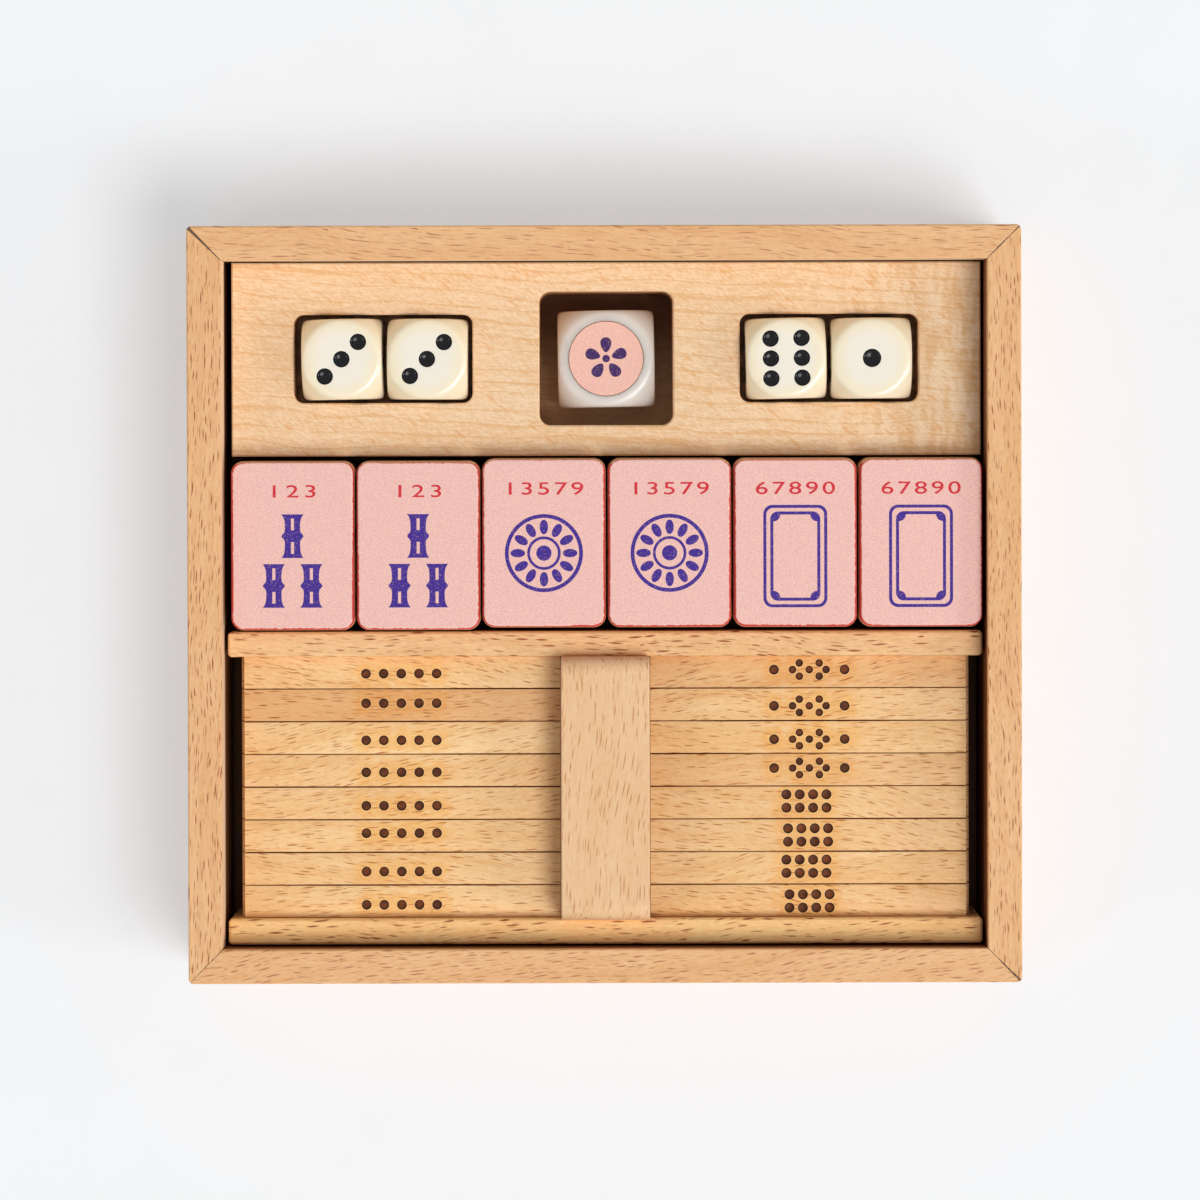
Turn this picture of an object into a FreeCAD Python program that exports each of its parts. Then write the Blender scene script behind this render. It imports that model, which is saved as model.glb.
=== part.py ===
import FreeCAD, Part
import os
import re

import Sketcher

# A low open mahjong case of beech, 164 x 149 x 36 mm, packed in three rows from back to front:
# a maple block with four dice and a wind cube, twelve dragon tiles in two layers, and a rack of
# counting sticks. X runs along the rows, Y from the front member to the back one, Z up, and the
# origin is under the middle of the case. The contents drive the case: a larger tile, die or stick
# makes its own compartment, and so the case, larger. Millimetres and degrees.

TILE_COLUMNS = 6
STICK_ROWS = 8
STICK_LAYERS = 6
SHEET = "Sizes"

SIZES = {
    # Case
    "wall": 6.7,
    "outer_corner_radius": 1.0,
    "outer_edge_ease": 0.3,
    "inner_edge_radius": 0.25,
    "mitre_gap": 0.06,
    "floor_lift": 1.0,
    "floor_thickness": 3.0,
    "groove_depth": 3.0,
    "groove_clearance": 0.2,
    "rim_above_tiles": 3.0,
    # Dice block and its pockets
    "block_height": 22.5,
    "block_left_gap": 1.48,
    "block_right_gap": 0.6,
    "block_back_gap": 0.25,
    "block_back_margin": 5.85,
    "block_front_margin": 6.05,
    "block_edge_ease": 0.3,
    "pocket_depth": 11.5,
    "pocket_end_margin": 12.39,
    "pocket_corner_radius": 1.95,
    "pocket_edge_ease": 0.3,
    "pocket_slack_along": 2.5,
    "pocket_slack_across": 1.5,
    "cube_pocket_slack": 7.2,
    "cube_pocket_radius": 2.2,
    # Dice and wind cube: cubes whose corners are cut by a ball
    "die_edge": 16.0,
    "die_ball_share": 0.725,
    "die_gap": 0.9,
    "die_front_shift": 0.1,
    "left_pair_shift": 0.35,
    "right_pair_shift": -0.15,
    "turn_of_die_one": 1.0,
    "turn_of_die_two": -0.3,
    "turn_of_die_three": 1.2,
    "turn_of_die_four": 0.2,
    "cube_edge": 19.3,
    "cube_ball_share": 0.735,
    "cube_turn": 0.8,
    # Tiles
    "tile_width": 24.41,
    "tile_length": 33.4,
    "tile_core_thickness": 12.5,
    "tile_face_thickness": 2.0,
    "tile_face_inset": 0.12,
    "tile_corner_radius": 2.45,
    "tile_gap": 0.37,
    "tile_row_left_gap": 1.64,
    "tile_row_right_gap": 0.7,
    "tile_slot_slack": 1.3,
    "tile_front_shift": 0.25,
    "tile_back_shift": 0.2,
    # Counting-stick rack
    "rack_left_gap": 0.8,
    "rack_right_gap": 0.6,
    "rack_front_gap": 0.45,
    "back_rail_width": 4.95,
    "front_rail_width": 5.07,
    "rail_above_sticks": 2.6,
    "rail_end_ease": 0.5,
    "rail_edge_ease": 0.4,
    "rack_floor_thickness": 3.0,
    "rebate_width": 2.4,
    "centre_block_width": 17.6,
    "centre_block_drop": 0.3,
    "centre_block_end_radius": 3.2,
    "centre_block_edge_ease": 0.3,
    # Counting sticks
    "stick_width": 6.34,
    "stick_thickness": 3.4,
    "stick_row_gap": 0.15,
    "stick_bay_slack": 0.11,
    "stick_end_gap": 3.05,
    "stick_slip": 0.1,
    "lower_stick_shift": 0.7,
}

# Sizes that follow from those above, as expressions of the sheet
FLOOR_TOP = "(floor_lift + floor_thickness)"
TILE_THICKNESS = "(tile_core_thickness + tile_face_thickness)"
TILE_PITCH = "(tile_width + tile_gap)"
CAVITY_WIDTH = (
    f"({TILE_COLUMNS} * tile_width + {TILE_COLUMNS - 1} * tile_gap"
    " + tile_row_left_gap + tile_row_right_gap)"
)
CUBE_POCKET = "(cube_edge + cube_pocket_slack)"
DICE_POCKET_LENGTH = "(2 * die_edge + die_gap + pocket_slack_along)"
DICE_POCKET_WIDTH = "(die_edge + pocket_slack_across)"
BLOCK_DEPTH = f"({CUBE_POCKET} + block_back_margin + block_front_margin)"
BLOCK_LENGTH = f"({CAVITY_WIDTH} - block_left_gap - block_right_gap)"
POCKET_SPREAD = f"(({BLOCK_LENGTH} - {DICE_POCKET_LENGTH}) / 2 - pocket_end_margin)"
TILE_SLOT = "(tile_length + tile_slot_slack)"
STICK_PITCH = "(stick_width + stick_row_gap)"
STICK_BAY = f"({STICK_ROWS} * stick_width + {STICK_ROWS - 1} * stick_row_gap + stick_bay_slack)"
RACK_DEPTH = f"(back_rail_width + {STICK_BAY} + front_rail_width)"
RACK_LENGTH = f"({CAVITY_WIDTH} - rack_left_gap - rack_right_gap)"
RAIL_HEIGHT = (
    f"(rack_floor_thickness + {STICK_LAYERS} * stick_thickness + rail_above_sticks)"
)
STICK_LENGTH = f"(({RACK_LENGTH} - centre_block_width) / 2 - stick_end_gap - stick_slip)"
CAVITY_DEPTH = f"(block_back_gap + {BLOCK_DEPTH} + {TILE_SLOT} + {RACK_DEPTH} + rack_front_gap)"
CASE_WIDTH = f"({CAVITY_WIDTH} + 2 * wall)"
CASE_DEPTH = f"({CAVITY_DEPTH} + 2 * wall)"
CASE_HEIGHT = f"({FLOOR_TOP} + 2 * {TILE_THICKNESS} + rim_above_tiles)"

# Places of the rows inside the case
BLOCK_X = "((block_left_gap - block_right_gap) / 2)"
BLOCK_BACK = f"({CAVITY_DEPTH} / 2 - block_back_gap)"
BLOCK_Y = f"({BLOCK_BACK} - {BLOCK_DEPTH} / 2)"
POCKET_Y = f"({BLOCK_BACK} - block_back_margin - {CUBE_POCKET} / 2)"
SLOT_Y = f"({BLOCK_BACK} - {BLOCK_DEPTH} - {TILE_SLOT} / 2)"
RACK_X = "((rack_left_gap - rack_right_gap) / 2)"
RACK_BACK = f"(rack_front_gap + {RACK_DEPTH} - {CAVITY_DEPTH} / 2)"
BAY_Y = f"({RACK_BACK} - back_rail_width - {STICK_BAY} / 2)"
STICK_BASE = f"({FLOOR_TOP} + rack_floor_thickness)"

doc = FreeCAD.newDocument("MahjongCase")
parts = []


def from_sheet(text):
    """The expression with each size's name pointing at its cell."""
    return re.sub(
        r"[a-z]\w+",
        lambda word: f"{SHEET}.{word.group()}" if word.group() in SIZES else word.group(),
        text,
    )


def make_size_sheet():
    sheet = doc.addObject("Spreadsheet::Sheet", SHEET)
    for row, (name, size) in enumerate(SIZES.items(), start=1):
        sheet.set(f"A{row}", name)
        sheet.set(f"B{row}", str(size))
        sheet.setAlias(f"B{row}", name)
    doc.recompute()
    return sheet


sizes = make_size_sheet()


def size(text):
    """The present value of an expression of the sheet."""
    return float(sizes.evalExpression(from_sheet(text)))


def bind(item, **expressions):
    """Ties properties to the sheet. A double underscore in a name stands for a dot."""
    for name, text in expressions.items():
        item.setExpression(name.replace("__", "."), from_sheet(text))


def place(item, x="0", y="0", z="0", turn=None):
    """Puts an item at a point, turned about Z by an angle in degrees."""
    if turn is not None:
        item.Placement = FreeCAD.Placement(
            FreeCAD.Vector(), FreeCAD.Rotation(FreeCAD.Vector(0, 0, 1), 1)
        )
        bind(item, Placement__Rotation__Angle=turn)
    bind(item, Placement__Base__x=x, Placement__Base__y=y, Placement__Base__z=z)
    return item


def keep(item, label):
    """Marks an item as a sub-part, to be written under its label."""
    item.Label = label
    parts.append(item)
    return item


def add_sketch(body, role, height="0"):
    """A sketch on one of the body's origin planes, lifted off it by a height."""
    plane = next(f for f in body.Origin.OriginFeatures if f.Role == role)
    sketch = body.newObject("Sketcher::SketchObject", "Outline")
    sketch.AttachmentSupport = [(plane, "")]
    sketch.MapMode = "FlatFace"
    bind(sketch, AttachmentOffset__Base__z=height)
    return sketch


def draw_outline(sketch, corners):
    """A closed straight outline, each corner held at its own x and y from the sketch's origin."""
    points = [FreeCAD.Vector(size(x), size(y), 0) for x, y in corners]
    count = len(points)
    for index, point in enumerate(points):
        sketch.addGeometry(Part.LineSegment(point, points[(index + 1) % count]), False)
    for index in range(count):
        sketch.addConstraint(
            Sketcher.Constraint("Coincident", index, 2, (index + 1) % count, 1)
        )
    for index, (point, corner) in enumerate(zip(points, corners)):
        for kind, distance, text in zip(("DistanceX", "DistanceY"), point, corner):
            number = sketch.addConstraint(
                Sketcher.Constraint(kind, -1, 1, index, 1, distance)
            )
            sketch.setExpression(f"Constraints[{number}]", from_sheet(text))


def draw_rectangle(sketch, width, depth, x="0", y="0"):
    """A rectangle about the point x, y."""
    left, right = f"{x} - {width} / 2", f"{x} + {width} / 2"
    front, back = f"{y} - {depth} / 2", f"{y} + {depth} / 2"
    draw_outline(sketch, [(left, front), (right, front), (right, back), (left, back)])


def pad(body, sketch, length, midplane=False):
    feature = body.newObject("PartDesign::Pad", "Pad")
    feature.Profile = sketch
    feature.Midplane = midplane
    bind(feature, Length=length)
    doc.recompute()
    return feature


def pocket(body, sketch, depth):
    """Cuts upward from the sketch's plane, and checks that it cut."""
    before = body.Shape.Volume
    feature = body.newObject("PartDesign::Pocket", "Pocket")
    feature.Profile = sketch
    feature.Reversed = True
    bind(feature, Length=depth)
    doc.recompute()
    if not feature.Shape.Volume < before:
        raise RuntimeError(f"a pocket of {body.Label} cuts nothing")
    return feature


def named_edges(shape, chosen):
    return [f"Edge{number}" for number, edge in enumerate(shape.Edges, 1) if chosen(edge)]


def round_edges(body, radius, chosen):
    """Rounds those edges of the body's last feature that the test picks."""
    base = body.Tip
    feature = body.newObject("PartDesign::Fillet", "Round")
    feature.Base = (base, named_edges(base.Shape, chosen))
    bind(feature, Radius=radius)
    doc.recompute()
    return feature


def ease_edges(body, width, chosen):
    """Takes a small flat off those edges of the body's last feature that the test picks."""
    base = body.Tip
    feature = body.newObject("PartDesign::Chamfer", "Ease")
    feature.Base = (base, named_edges(base.Shape, chosen))
    bind(feature, Size=width)
    doc.recompute()
    return feature


def runs_along(edge, axis):
    """True if a straight edge runs along X, Y or Z."""
    bounds = edge.BoundBox
    spans = {"x": bounds.XLength, "y": bounds.YLength, "z": bounds.ZLength}
    along = spans.pop(axis)
    return along > 1e-2 and max(spans.values()) < 1e-4


def lies_at(edge, axis, value):
    """True if the whole edge has that coordinate."""
    low = getattr(edge.BoundBox, axis.upper() + "Min")
    high = getattr(edge.BoundBox, axis.upper() + "Max")
    return abs(low - value) < 1e-4 and abs(high - value) < 1e-4


def stands_inside(edge, half_width, half_depth, x=0.0, y=0.0):
    """True if an edge lies within a rectangle about x, y."""
    middle = edge.CenterOfMass
    return abs(middle.x - x) < half_width and abs(middle.y - y) < half_depth


def box(length, width, height, x, y, z):
    """A plain board or stick about the point x, y, standing on z."""
    item = doc.addObject("Part::Box", "Board")
    bind(item, Length=length, Width=width, Height=height)
    return place(item, f"{x} - {length} / 2", f"{y} - {width} / 2", z)


# Case: four mitred members round a floor panel that sits in their groove


def make_frame_ring():
    """The frame as one ring, which the mitres then divide."""
    body = doc.addObject("PartDesign::Body", "FrameRing")
    outline = add_sketch(body, "XY_Plane")
    draw_rectangle(outline, CASE_WIDTH, CASE_DEPTH)
    pad(body, outline, CASE_HEIGHT)
    round_edges(body, "outer_corner_radius", lambda edge: runs_along(edge, "z"))

    cavity = add_sketch(body, "XY_Plane")
    draw_rectangle(cavity, CAVITY_WIDTH, CAVITY_DEPTH)
    pocket(body, cavity, CASE_HEIGHT)

    groove = add_sketch(body, "XY_Plane", height="floor_lift")
    reach = "2 * groove_depth"
    draw_rectangle(groove, f"({CAVITY_WIDTH} + {reach})", f"({CAVITY_DEPTH} + {reach})")
    pocket(body, groove, "floor_thickness")

    top = size(CASE_HEIGHT)
    half_width, half_depth = size(CAVITY_WIDTH) / 2, size(CAVITY_DEPTH) / 2
    slack = size("wall") / 2
    inner = (half_width + slack, half_depth + slack)
    round_edges(
        body,
        "inner_edge_radius",
        lambda edge: lies_at(edge, "z", top) and stands_inside(edge, *inner),
    )
    ease_edges(
        body,
        "outer_edge_ease",
        lambda edge: lies_at(edge, "z", top) and not stands_inside(edge, *inner),
    )
    return body


def make_frame_member(ring, label, along, across, turn):
    """The part of the ring between two mitres: along is the member's length."""
    shy = "mitre_gap * sqrt(0.5)"
    outside = f"-{across} / 2"
    mitre = doc.addObject("Part::Wedge", "Mitre")
    bind(
        mitre,
        Xmin=f"{shy} - {along} / 2",
        Xmax=f"{along} / 2 - {shy}",
        X2min=f"{shy} - {along} / 2 + 2 * wall",
        X2max=f"{along} / 2 - {shy} - 2 * wall",
        Ymin=outside,
        Ymax=f"{outside} + 2 * wall",
        Zmin="0",
        Z2min="0",
        Zmax=CASE_HEIGHT,
        Z2max=CASE_HEIGHT,
    )
    place(mitre, turn=turn)
    member = doc.addObject("Part::Common", "Member")
    member.Base = ring
    member.Tool = mitre
    return keep(member, label)


def make_case():
    ring = make_frame_ring()
    make_frame_member(ring, "frame_front", CASE_WIDTH, CASE_DEPTH, "0")
    make_frame_member(ring, "frame_right", CASE_DEPTH, CASE_WIDTH, "90")
    make_frame_member(ring, "frame_back", CASE_WIDTH, CASE_DEPTH, "180")
    make_frame_member(ring, "frame_left", CASE_DEPTH, CASE_WIDTH, "270")
    tongue = "2 * (groove_depth - groove_clearance)"
    panel = box(
        f"({CAVITY_WIDTH} + {tongue})",
        f"({CAVITY_DEPTH} + {tongue})",
        "floor_thickness",
        "0",
        "0",
        "floor_lift",
    )
    keep(panel, "case_floor")


# Dice block: a board with two blind pockets for pairs of dice and a through pocket for the cube


def make_dice_block():
    body = doc.addObject("PartDesign::Body", "Block")
    place(body, BLOCK_X, BLOCK_Y, FLOOR_TOP)
    outline = add_sketch(body, "XY_Plane")
    draw_rectangle(outline, BLOCK_LENGTH, BLOCK_DEPTH)
    pad(body, outline, "block_height")
    top = size("block_height")
    ease_edges(body, "block_edge_ease", lambda edge: lies_at(edge, "z", top))

    pocket_y = f"({POCKET_Y} - {BLOCK_Y})"
    cube_pocket = add_sketch(body, "XY_Plane")
    draw_rectangle(cube_pocket, CUBE_POCKET, CUBE_POCKET, y=pocket_y)
    pocket(body, cube_pocket, "block_height")
    for side in (f"-{POCKET_SPREAD}", POCKET_SPREAD):
        dice_pocket = add_sketch(body, "XY_Plane", height="block_height - pocket_depth")
        draw_rectangle(
            dice_pocket, DICE_POCKET_LENGTH, DICE_POCKET_WIDTH, side, pocket_y
        )
        pocket(body, dice_pocket, "pocket_depth")

    slack = 1.0
    cube_half = size(CUBE_POCKET) / 2 + slack
    dice_half = (size(DICE_POCKET_LENGTH) / 2 + slack, size(DICE_POCKET_WIDTH) / 2 + slack)
    spread, y = size(POCKET_SPREAD), size(pocket_y)

    def in_cube_pocket(edge):
        return stands_inside(edge, cube_half, cube_half, 0, y)

    def in_dice_pocket(edge):
        return any(stands_inside(edge, *dice_half, x, y) for x in (-spread, spread))

    round_edges(
        body,
        "cube_pocket_radius",
        lambda edge: runs_along(edge, "z") and in_cube_pocket(edge),
    )
    round_edges(
        body,
        "pocket_corner_radius",
        lambda edge: runs_along(edge, "z") and in_dice_pocket(edge),
    )
    ease_edges(
        body,
        "pocket_edge_ease",
        lambda edge: lies_at(edge, "z", top)
        and (in_cube_pocket(edge) or in_dice_pocket(edge)),
    )
    keep(body, "dice_block")


def make_ball_cut_cube(label, edge, ball_share, x, y, base, turn):
    """A cube that a ball about its middle cuts off at the corners."""
    cube = doc.addObject("Part::Box", "Cube")
    bind(cube, Length=edge, Width=edge, Height=edge)
    half = f"-{edge} / 2"
    place(cube, half, half, half)
    ball = doc.addObject("Part::Sphere", "Ball")
    bind(ball, Radius=f"{edge} * {ball_share}")
    both = doc.addObject("Part::Common", "BallCutCube")
    both.Base = cube
    both.Tool = ball
    place(both, x, y, f"{base} + {edge} / 2", turn)
    return keep(both, label)


def make_dice():
    pocket_floor = f"({FLOOR_TOP} + block_height - pocket_depth)"
    half_step = "(die_edge + die_gap) / 2"
    left_pair = f"{BLOCK_X} - {POCKET_SPREAD} + left_pair_shift"
    right_pair = f"{BLOCK_X} + {POCKET_SPREAD} + right_pair_shift"
    dice = (
        (f"{left_pair} - {half_step}", "turn_of_die_one"),
        (f"{left_pair} + {half_step}", "turn_of_die_two"),
        (f"{right_pair} - {half_step}", "turn_of_die_three"),
        (f"{right_pair} + {half_step}", "turn_of_die_four"),
    )
    y = f"{POCKET_Y} - die_front_shift"
    for number, (x, turn) in enumerate(dice, start=1):
        make_ball_cut_cube(
            f"die_{number}", "die_edge", "die_ball_share", x, y, pocket_floor, turn
        )


def make_wind_cube():
    """It stands on the case floor, so that the block lifts off round it."""
    make_ball_cut_cube(
        "wind_cube",
        "cube_edge",
        "cube_ball_share",
        BLOCK_X,
        POCKET_Y,
        FLOOR_TOP,
        "cube_turn",
    )


# Tiles: a wooden core with a coloured face plate glued on


def make_rounded_slab(label, width, length, thickness, radius, x, y, z):
    body = doc.addObject("PartDesign::Body", "Slab")
    place(body, x, y, z)
    outline = add_sketch(body, "XY_Plane")
    draw_rectangle(outline, width, length)
    pad(body, outline, thickness)
    round_edges(body, radius, lambda edge: runs_along(edge, "z"))
    return keep(body, label)


def make_tile(label, x, y, z):
    make_rounded_slab(
        f"{label}_core",
        "tile_width",
        "tile_length",
        "tile_core_thickness",
        "tile_corner_radius",
        x,
        y,
        z,
    )
    make_rounded_slab(
        f"{label}_face",
        "(tile_width - 2 * tile_face_inset)",
        "(tile_length - 2 * tile_face_inset)",
        "tile_face_thickness",
        "tile_corner_radius - tile_face_inset",
        x,
        y,
        f"{z} + tile_core_thickness",
    )


def make_tiles():
    """Two layers of six. The first two columns sit a little further forward in their slot."""
    for column in range(TILE_COLUMNS):
        from_right = TILE_COLUMNS - 1 - column
        x = (
            f"{CAVITY_WIDTH} / 2 - tile_row_right_gap - tile_width / 2"
            f" - {from_right} * {TILE_PITCH}"
        )
        y = f"{SLOT_Y} - tile_front_shift" if column < 2 else f"{SLOT_Y} + tile_back_shift"
        make_tile(f"lower_tile_{column + 1}", x, y, FLOOR_TOP)
        make_tile(f"upper_tile_{column + 1}", x, y, f"{FLOOR_TOP} + {TILE_THICKNESS}")


# Counting-stick rack: two rails rebated over a floor board, with a block between them


def make_rail(label, width, outside, inward):
    """A rail whose outer face stands at outside. Inward is -1 if its bay lies towards the front."""
    body = doc.addObject("PartDesign::Body", "Rail")
    place(body, RACK_X, outside, FLOOR_TOP)
    section = add_sketch(body, "YZ_Plane")
    sign = "-1" if inward < 0 else "1"
    far = f"{sign} * {width}"
    step = f"{sign} * ({width} - rebate_width)"
    draw_outline(
        section,
        [
            ("0", "0"),
            (step, "0"),
            (step, "rack_floor_thickness"),
            (far, "rack_floor_thickness"),
            (far, RAIL_HEIGHT),
            ("0", RAIL_HEIGHT),
        ],
    )
    pad(body, section, RACK_LENGTH, midplane=True)
    top = size(RAIL_HEIGHT)
    ease_edges(
        body,
        "rail_end_ease",
        lambda edge: runs_along(edge, "z") and edge.BoundBox.ZMax > top - 1,
    )
    ease_edges(body, "rail_edge_ease", lambda edge: lies_at(edge, "z", top))
    keep(body, label)


def make_centre_block():
    """It divides the bay and stands proud of the rails, its two ends rounded over to grip."""
    body = doc.addObject("PartDesign::Body", "CentreBlock")
    place(body, RACK_X, BAY_Y, STICK_BASE)
    height = f"({CASE_HEIGHT} - centre_block_drop - {STICK_BASE})"
    outline = add_sketch(body, "XY_Plane")
    draw_rectangle(outline, "centre_block_width", STICK_BAY)
    pad(body, outline, height)
    top = size(height)
    round_edges(
        body,
        "centre_block_end_radius",
        lambda edge: runs_along(edge, "x") and lies_at(edge, "z", top),
    )
    side = size("centre_block_width") / 2
    ease_edges(
        body,
        "centre_block_edge_ease",
        lambda edge: runs_along(edge, "y")
        and lies_at(edge, "z", top)
        and (lies_at(edge, "x", side) or lies_at(edge, "x", -side)),
    )
    keep(body, "rack_centre_block")


def make_rack():
    make_rail("rack_rail_back", "back_rail_width", RACK_BACK, -1)
    make_rail("rack_rail_front", "front_rail_width", f"{RACK_BACK} - {RACK_DEPTH}", 1)
    board_depth = f"({STICK_BAY} + 2 * rebate_width)"
    board = box(
        RACK_LENGTH, board_depth, "rack_floor_thickness", RACK_X, BAY_Y, FLOOR_TOP
    )
    keep(board, "rack_floor")
    make_centre_block()


def make_stick(side, row, layer, slip):
    """One counting stick. Side is -1 on the left and 1 on the right, and row 0 is at the back."""
    x = f"{RACK_X} + {side} * (centre_block_width / 2 + {slip} + {STICK_LENGTH} / 2)"
    y = f"{BAY_Y} + {(STICK_ROWS - 1) / 2 - row} * {STICK_PITCH}"
    z = f"{STICK_BASE} + {layer} * stick_thickness"
    return box(STICK_LENGTH, "stick_width", "stick_thickness", x, y, z)


def make_sticks():
    """The lower layers on each side are one group of loose sticks; the top layer is one by one."""
    for side, name in ((-1, "left"), (1, "right")):
        stack = doc.addObject("Part::Compound", "Stack")
        stack.Links = [
            make_stick(side, row, layer, "(stick_slip + lower_stick_shift)")
            for layer in range(STICK_LAYERS - 1)
            for row in range(STICK_ROWS)
        ]
        keep(stack, f"{name}_stick_stack")
        for row in range(STICK_ROWS):
            stick = make_stick(side, row, STICK_LAYERS - 1, "stick_slip")
            keep(stick, f"{name}_stick_{row + 1}")


def check_document():
    """Stops before anything is written if a feature failed or a sub-part is not a sound solid."""
    for item in doc.Objects:
        if {"Invalid", "Error"} & set(item.State):
            raise RuntimeError(f"{item.Label} did not compute: {item.State}")
    for part in parts:
        shape = part.Shape
        if shape.isNull() or not shape.isValid() or shape.Volume <= 0:
            raise RuntimeError(f"{part.Label} is not a sound solid")


def write_parts(folder="parts"):
    os.makedirs(folder, exist_ok=True)
    for part in parts:
        part.Shape.exportStep(os.path.join(folder, f"{part.Label}.step"))


make_case()
make_dice_block()
make_dice()
make_wind_cube()
make_tiles()
make_rack()
make_sticks()
doc.recompute()
check_document()
write_parts()
print(f"{len(parts)} sub-parts written, the case is", end=" ")
print(" x ".join(f"{size(text):.1f}" for text in (CASE_WIDTH, CASE_DEPTH, CASE_HEIGHT)))
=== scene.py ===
import math
import random

import bmesh
import bpy
from bpy.props import FloatProperty, FloatVectorProperty, IntProperty, PointerProperty
from mathutils import Matrix, Vector


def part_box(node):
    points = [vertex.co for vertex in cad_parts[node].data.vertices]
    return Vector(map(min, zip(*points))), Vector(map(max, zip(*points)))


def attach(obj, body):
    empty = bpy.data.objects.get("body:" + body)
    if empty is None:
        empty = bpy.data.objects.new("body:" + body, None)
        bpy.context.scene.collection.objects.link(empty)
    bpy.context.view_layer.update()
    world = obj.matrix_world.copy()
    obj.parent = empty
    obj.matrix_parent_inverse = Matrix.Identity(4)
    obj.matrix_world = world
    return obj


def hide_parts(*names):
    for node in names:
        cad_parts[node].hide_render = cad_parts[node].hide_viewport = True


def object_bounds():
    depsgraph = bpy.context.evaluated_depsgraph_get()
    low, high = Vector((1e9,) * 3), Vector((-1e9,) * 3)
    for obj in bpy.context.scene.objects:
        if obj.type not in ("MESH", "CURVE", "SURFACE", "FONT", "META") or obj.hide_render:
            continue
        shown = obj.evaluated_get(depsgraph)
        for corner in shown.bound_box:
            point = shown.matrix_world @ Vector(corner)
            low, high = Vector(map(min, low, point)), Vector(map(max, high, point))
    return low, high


# The looks of a low open mahjong case of beech. Its dice block, dice, wind cube, tiles, stick rack
# and counting sticks all lift out. Metres, in the frame of the solids that it dresses: X along the
# rows, Y from the stick rack at the front to the dice block at the back, Z up.

bl_info = {
    "name": "Mahjong Case",
    "version": (1, 0, 0),
    "blender": (4, 5, 0),
    "location": "3D View > Sidebar > Case",
    "description": "Dresses a mahjong case with its dice, tiles and counting sticks",
    "category": "Object",
}

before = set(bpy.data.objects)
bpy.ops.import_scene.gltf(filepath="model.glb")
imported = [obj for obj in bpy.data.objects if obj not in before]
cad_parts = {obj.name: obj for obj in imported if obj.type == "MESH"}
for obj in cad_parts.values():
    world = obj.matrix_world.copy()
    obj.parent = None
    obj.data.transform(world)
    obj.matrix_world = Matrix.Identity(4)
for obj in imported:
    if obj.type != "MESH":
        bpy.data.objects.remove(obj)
CASE_LOW, CASE_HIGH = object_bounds()
MM = 0.001
TILE_COLUMNS = 6
STICK_ROWS = 8
STACK_LAYERS = 5
SIDES = ("left", "right")

# In millimetres: how wide a member of the frame is, how far the middle of a pair of dice lies from
# the middle of the block, and half the length and half the width of the block's pockets.
MEMBER_WIDTH = 7.0
DICE_POCKET_X = 44.2
DICE_POCKET_HALF = (17.7, 8.75)
CUBE_POCKET_HALF = (13.25, 13.25)


def tone(red, green, blue):
    """A colour given in display values from 0 to 255, as the linear one that the shaders use."""
    return tuple(
        v / 12.92 if v <= 0.04045 else ((v + 0.055) / 1.055) ** 2.4
        for v in (red / 255, green / 255, blue / 255)
    )


def opaque(colour):
    return (*colour[:3], 1.0)


def colour_of(name, description, red, green, blue):
    """A setting for a colour, whose default is given in display values from 0 to 255."""
    return FloatVectorProperty(
        name=name,
        description=description,
        subtype="COLOR",
        min=0,
        max=1,
        default=tone(red, green, blue),
    )


def length_of(name, description, millimetres):
    return FloatProperty(
        name=name,
        description=description,
        subtype="DISTANCE",
        unit="LENGTH",
        min=0,
        default=millimetres * MM,
    )


def angle_of(name, description, degrees):
    return FloatProperty(
        name=name, description=description, subtype="ANGLE", default=math.radians(degrees)
    )


# Settings


class WoodSettings(bpy.types.PropertyGroup):
    beech: colour_of("Beech", "Main colour of the case frame", 243, 194, 144)
    beech_dark: colour_of("Beech, dark", "Darker growth bands of the beech", 226, 169, 113)
    beech_fleck: colour_of("Beech flecks", "Short rays in the beech", 152, 74, 38)
    rail: colour_of("Rails", "Main colour of the rack's back rail", 249, 206, 152)
    # The front rail's colours are paler than the back rail's, as painted light on it.
    lit_front_rail: colour_of("Front rail", "Main colour of the rack's front rail", 255, 211, 146)
    lit_front_rail_dark: colour_of("Front rail, dark", "Its growth bands", 244, 180, 112)
    divider: colour_of("Divider", "Main colour of the divider block", 243, 203, 160)
    divider_dark: colour_of("Divider, dark", "Its growth bands", 232, 184, 136)
    divider_fleck: colour_of("Divider flecks", "Its short rays", 200, 140, 94)
    # The next colour is painted shade that darkens the divider's long sides.
    divider_side_shade: colour_of("Divider sides", "Tint of its sawn sides", 176, 166, 158)
    maple: colour_of("Maple", "Main colour of the dice block", 248, 218, 182)
    maple_dark: colour_of("Maple, dark", "Darker lines of the maple", 230, 184, 132)
    maple_patch: colour_of("Maple patches", "Orange patches in the maple", 230, 170, 108)
    pocket: colour_of("Pocket", "Shaded walls of the pockets", 226, 174, 124)
    # The next two colours are painted shade low inside the frame and painted light near its rim.
    inside: colour_of("Inside", "Tint of the insides of the frame", 130, 98, 76)
    pale_wood: colour_of("Bare", "Bare wood inside the rim of the frame", 252, 228, 194)
    glue: colour_of("Glue", "Old glue in the mitre that has opened", 122, 96, 76)
    floor_board: colour_of("Floor board", "Board under the tiles and sticks", 246, 204, 152)
    # The next colour is painted shade on the floor boards.
    board_shade: colour_of("Stain", "Tint of the floor boards where nobody sees them", 124, 94, 72)
    edge: length_of("Wood edge", "Softening of the sawn edges", 0.18)
    fleck_length: length_of("Fleck length", "Usual length of a ray in the beech", 3.2)
    fleck_width: length_of("Fleck width", "Usual width of a ray in the beech", 0.31)


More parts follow.
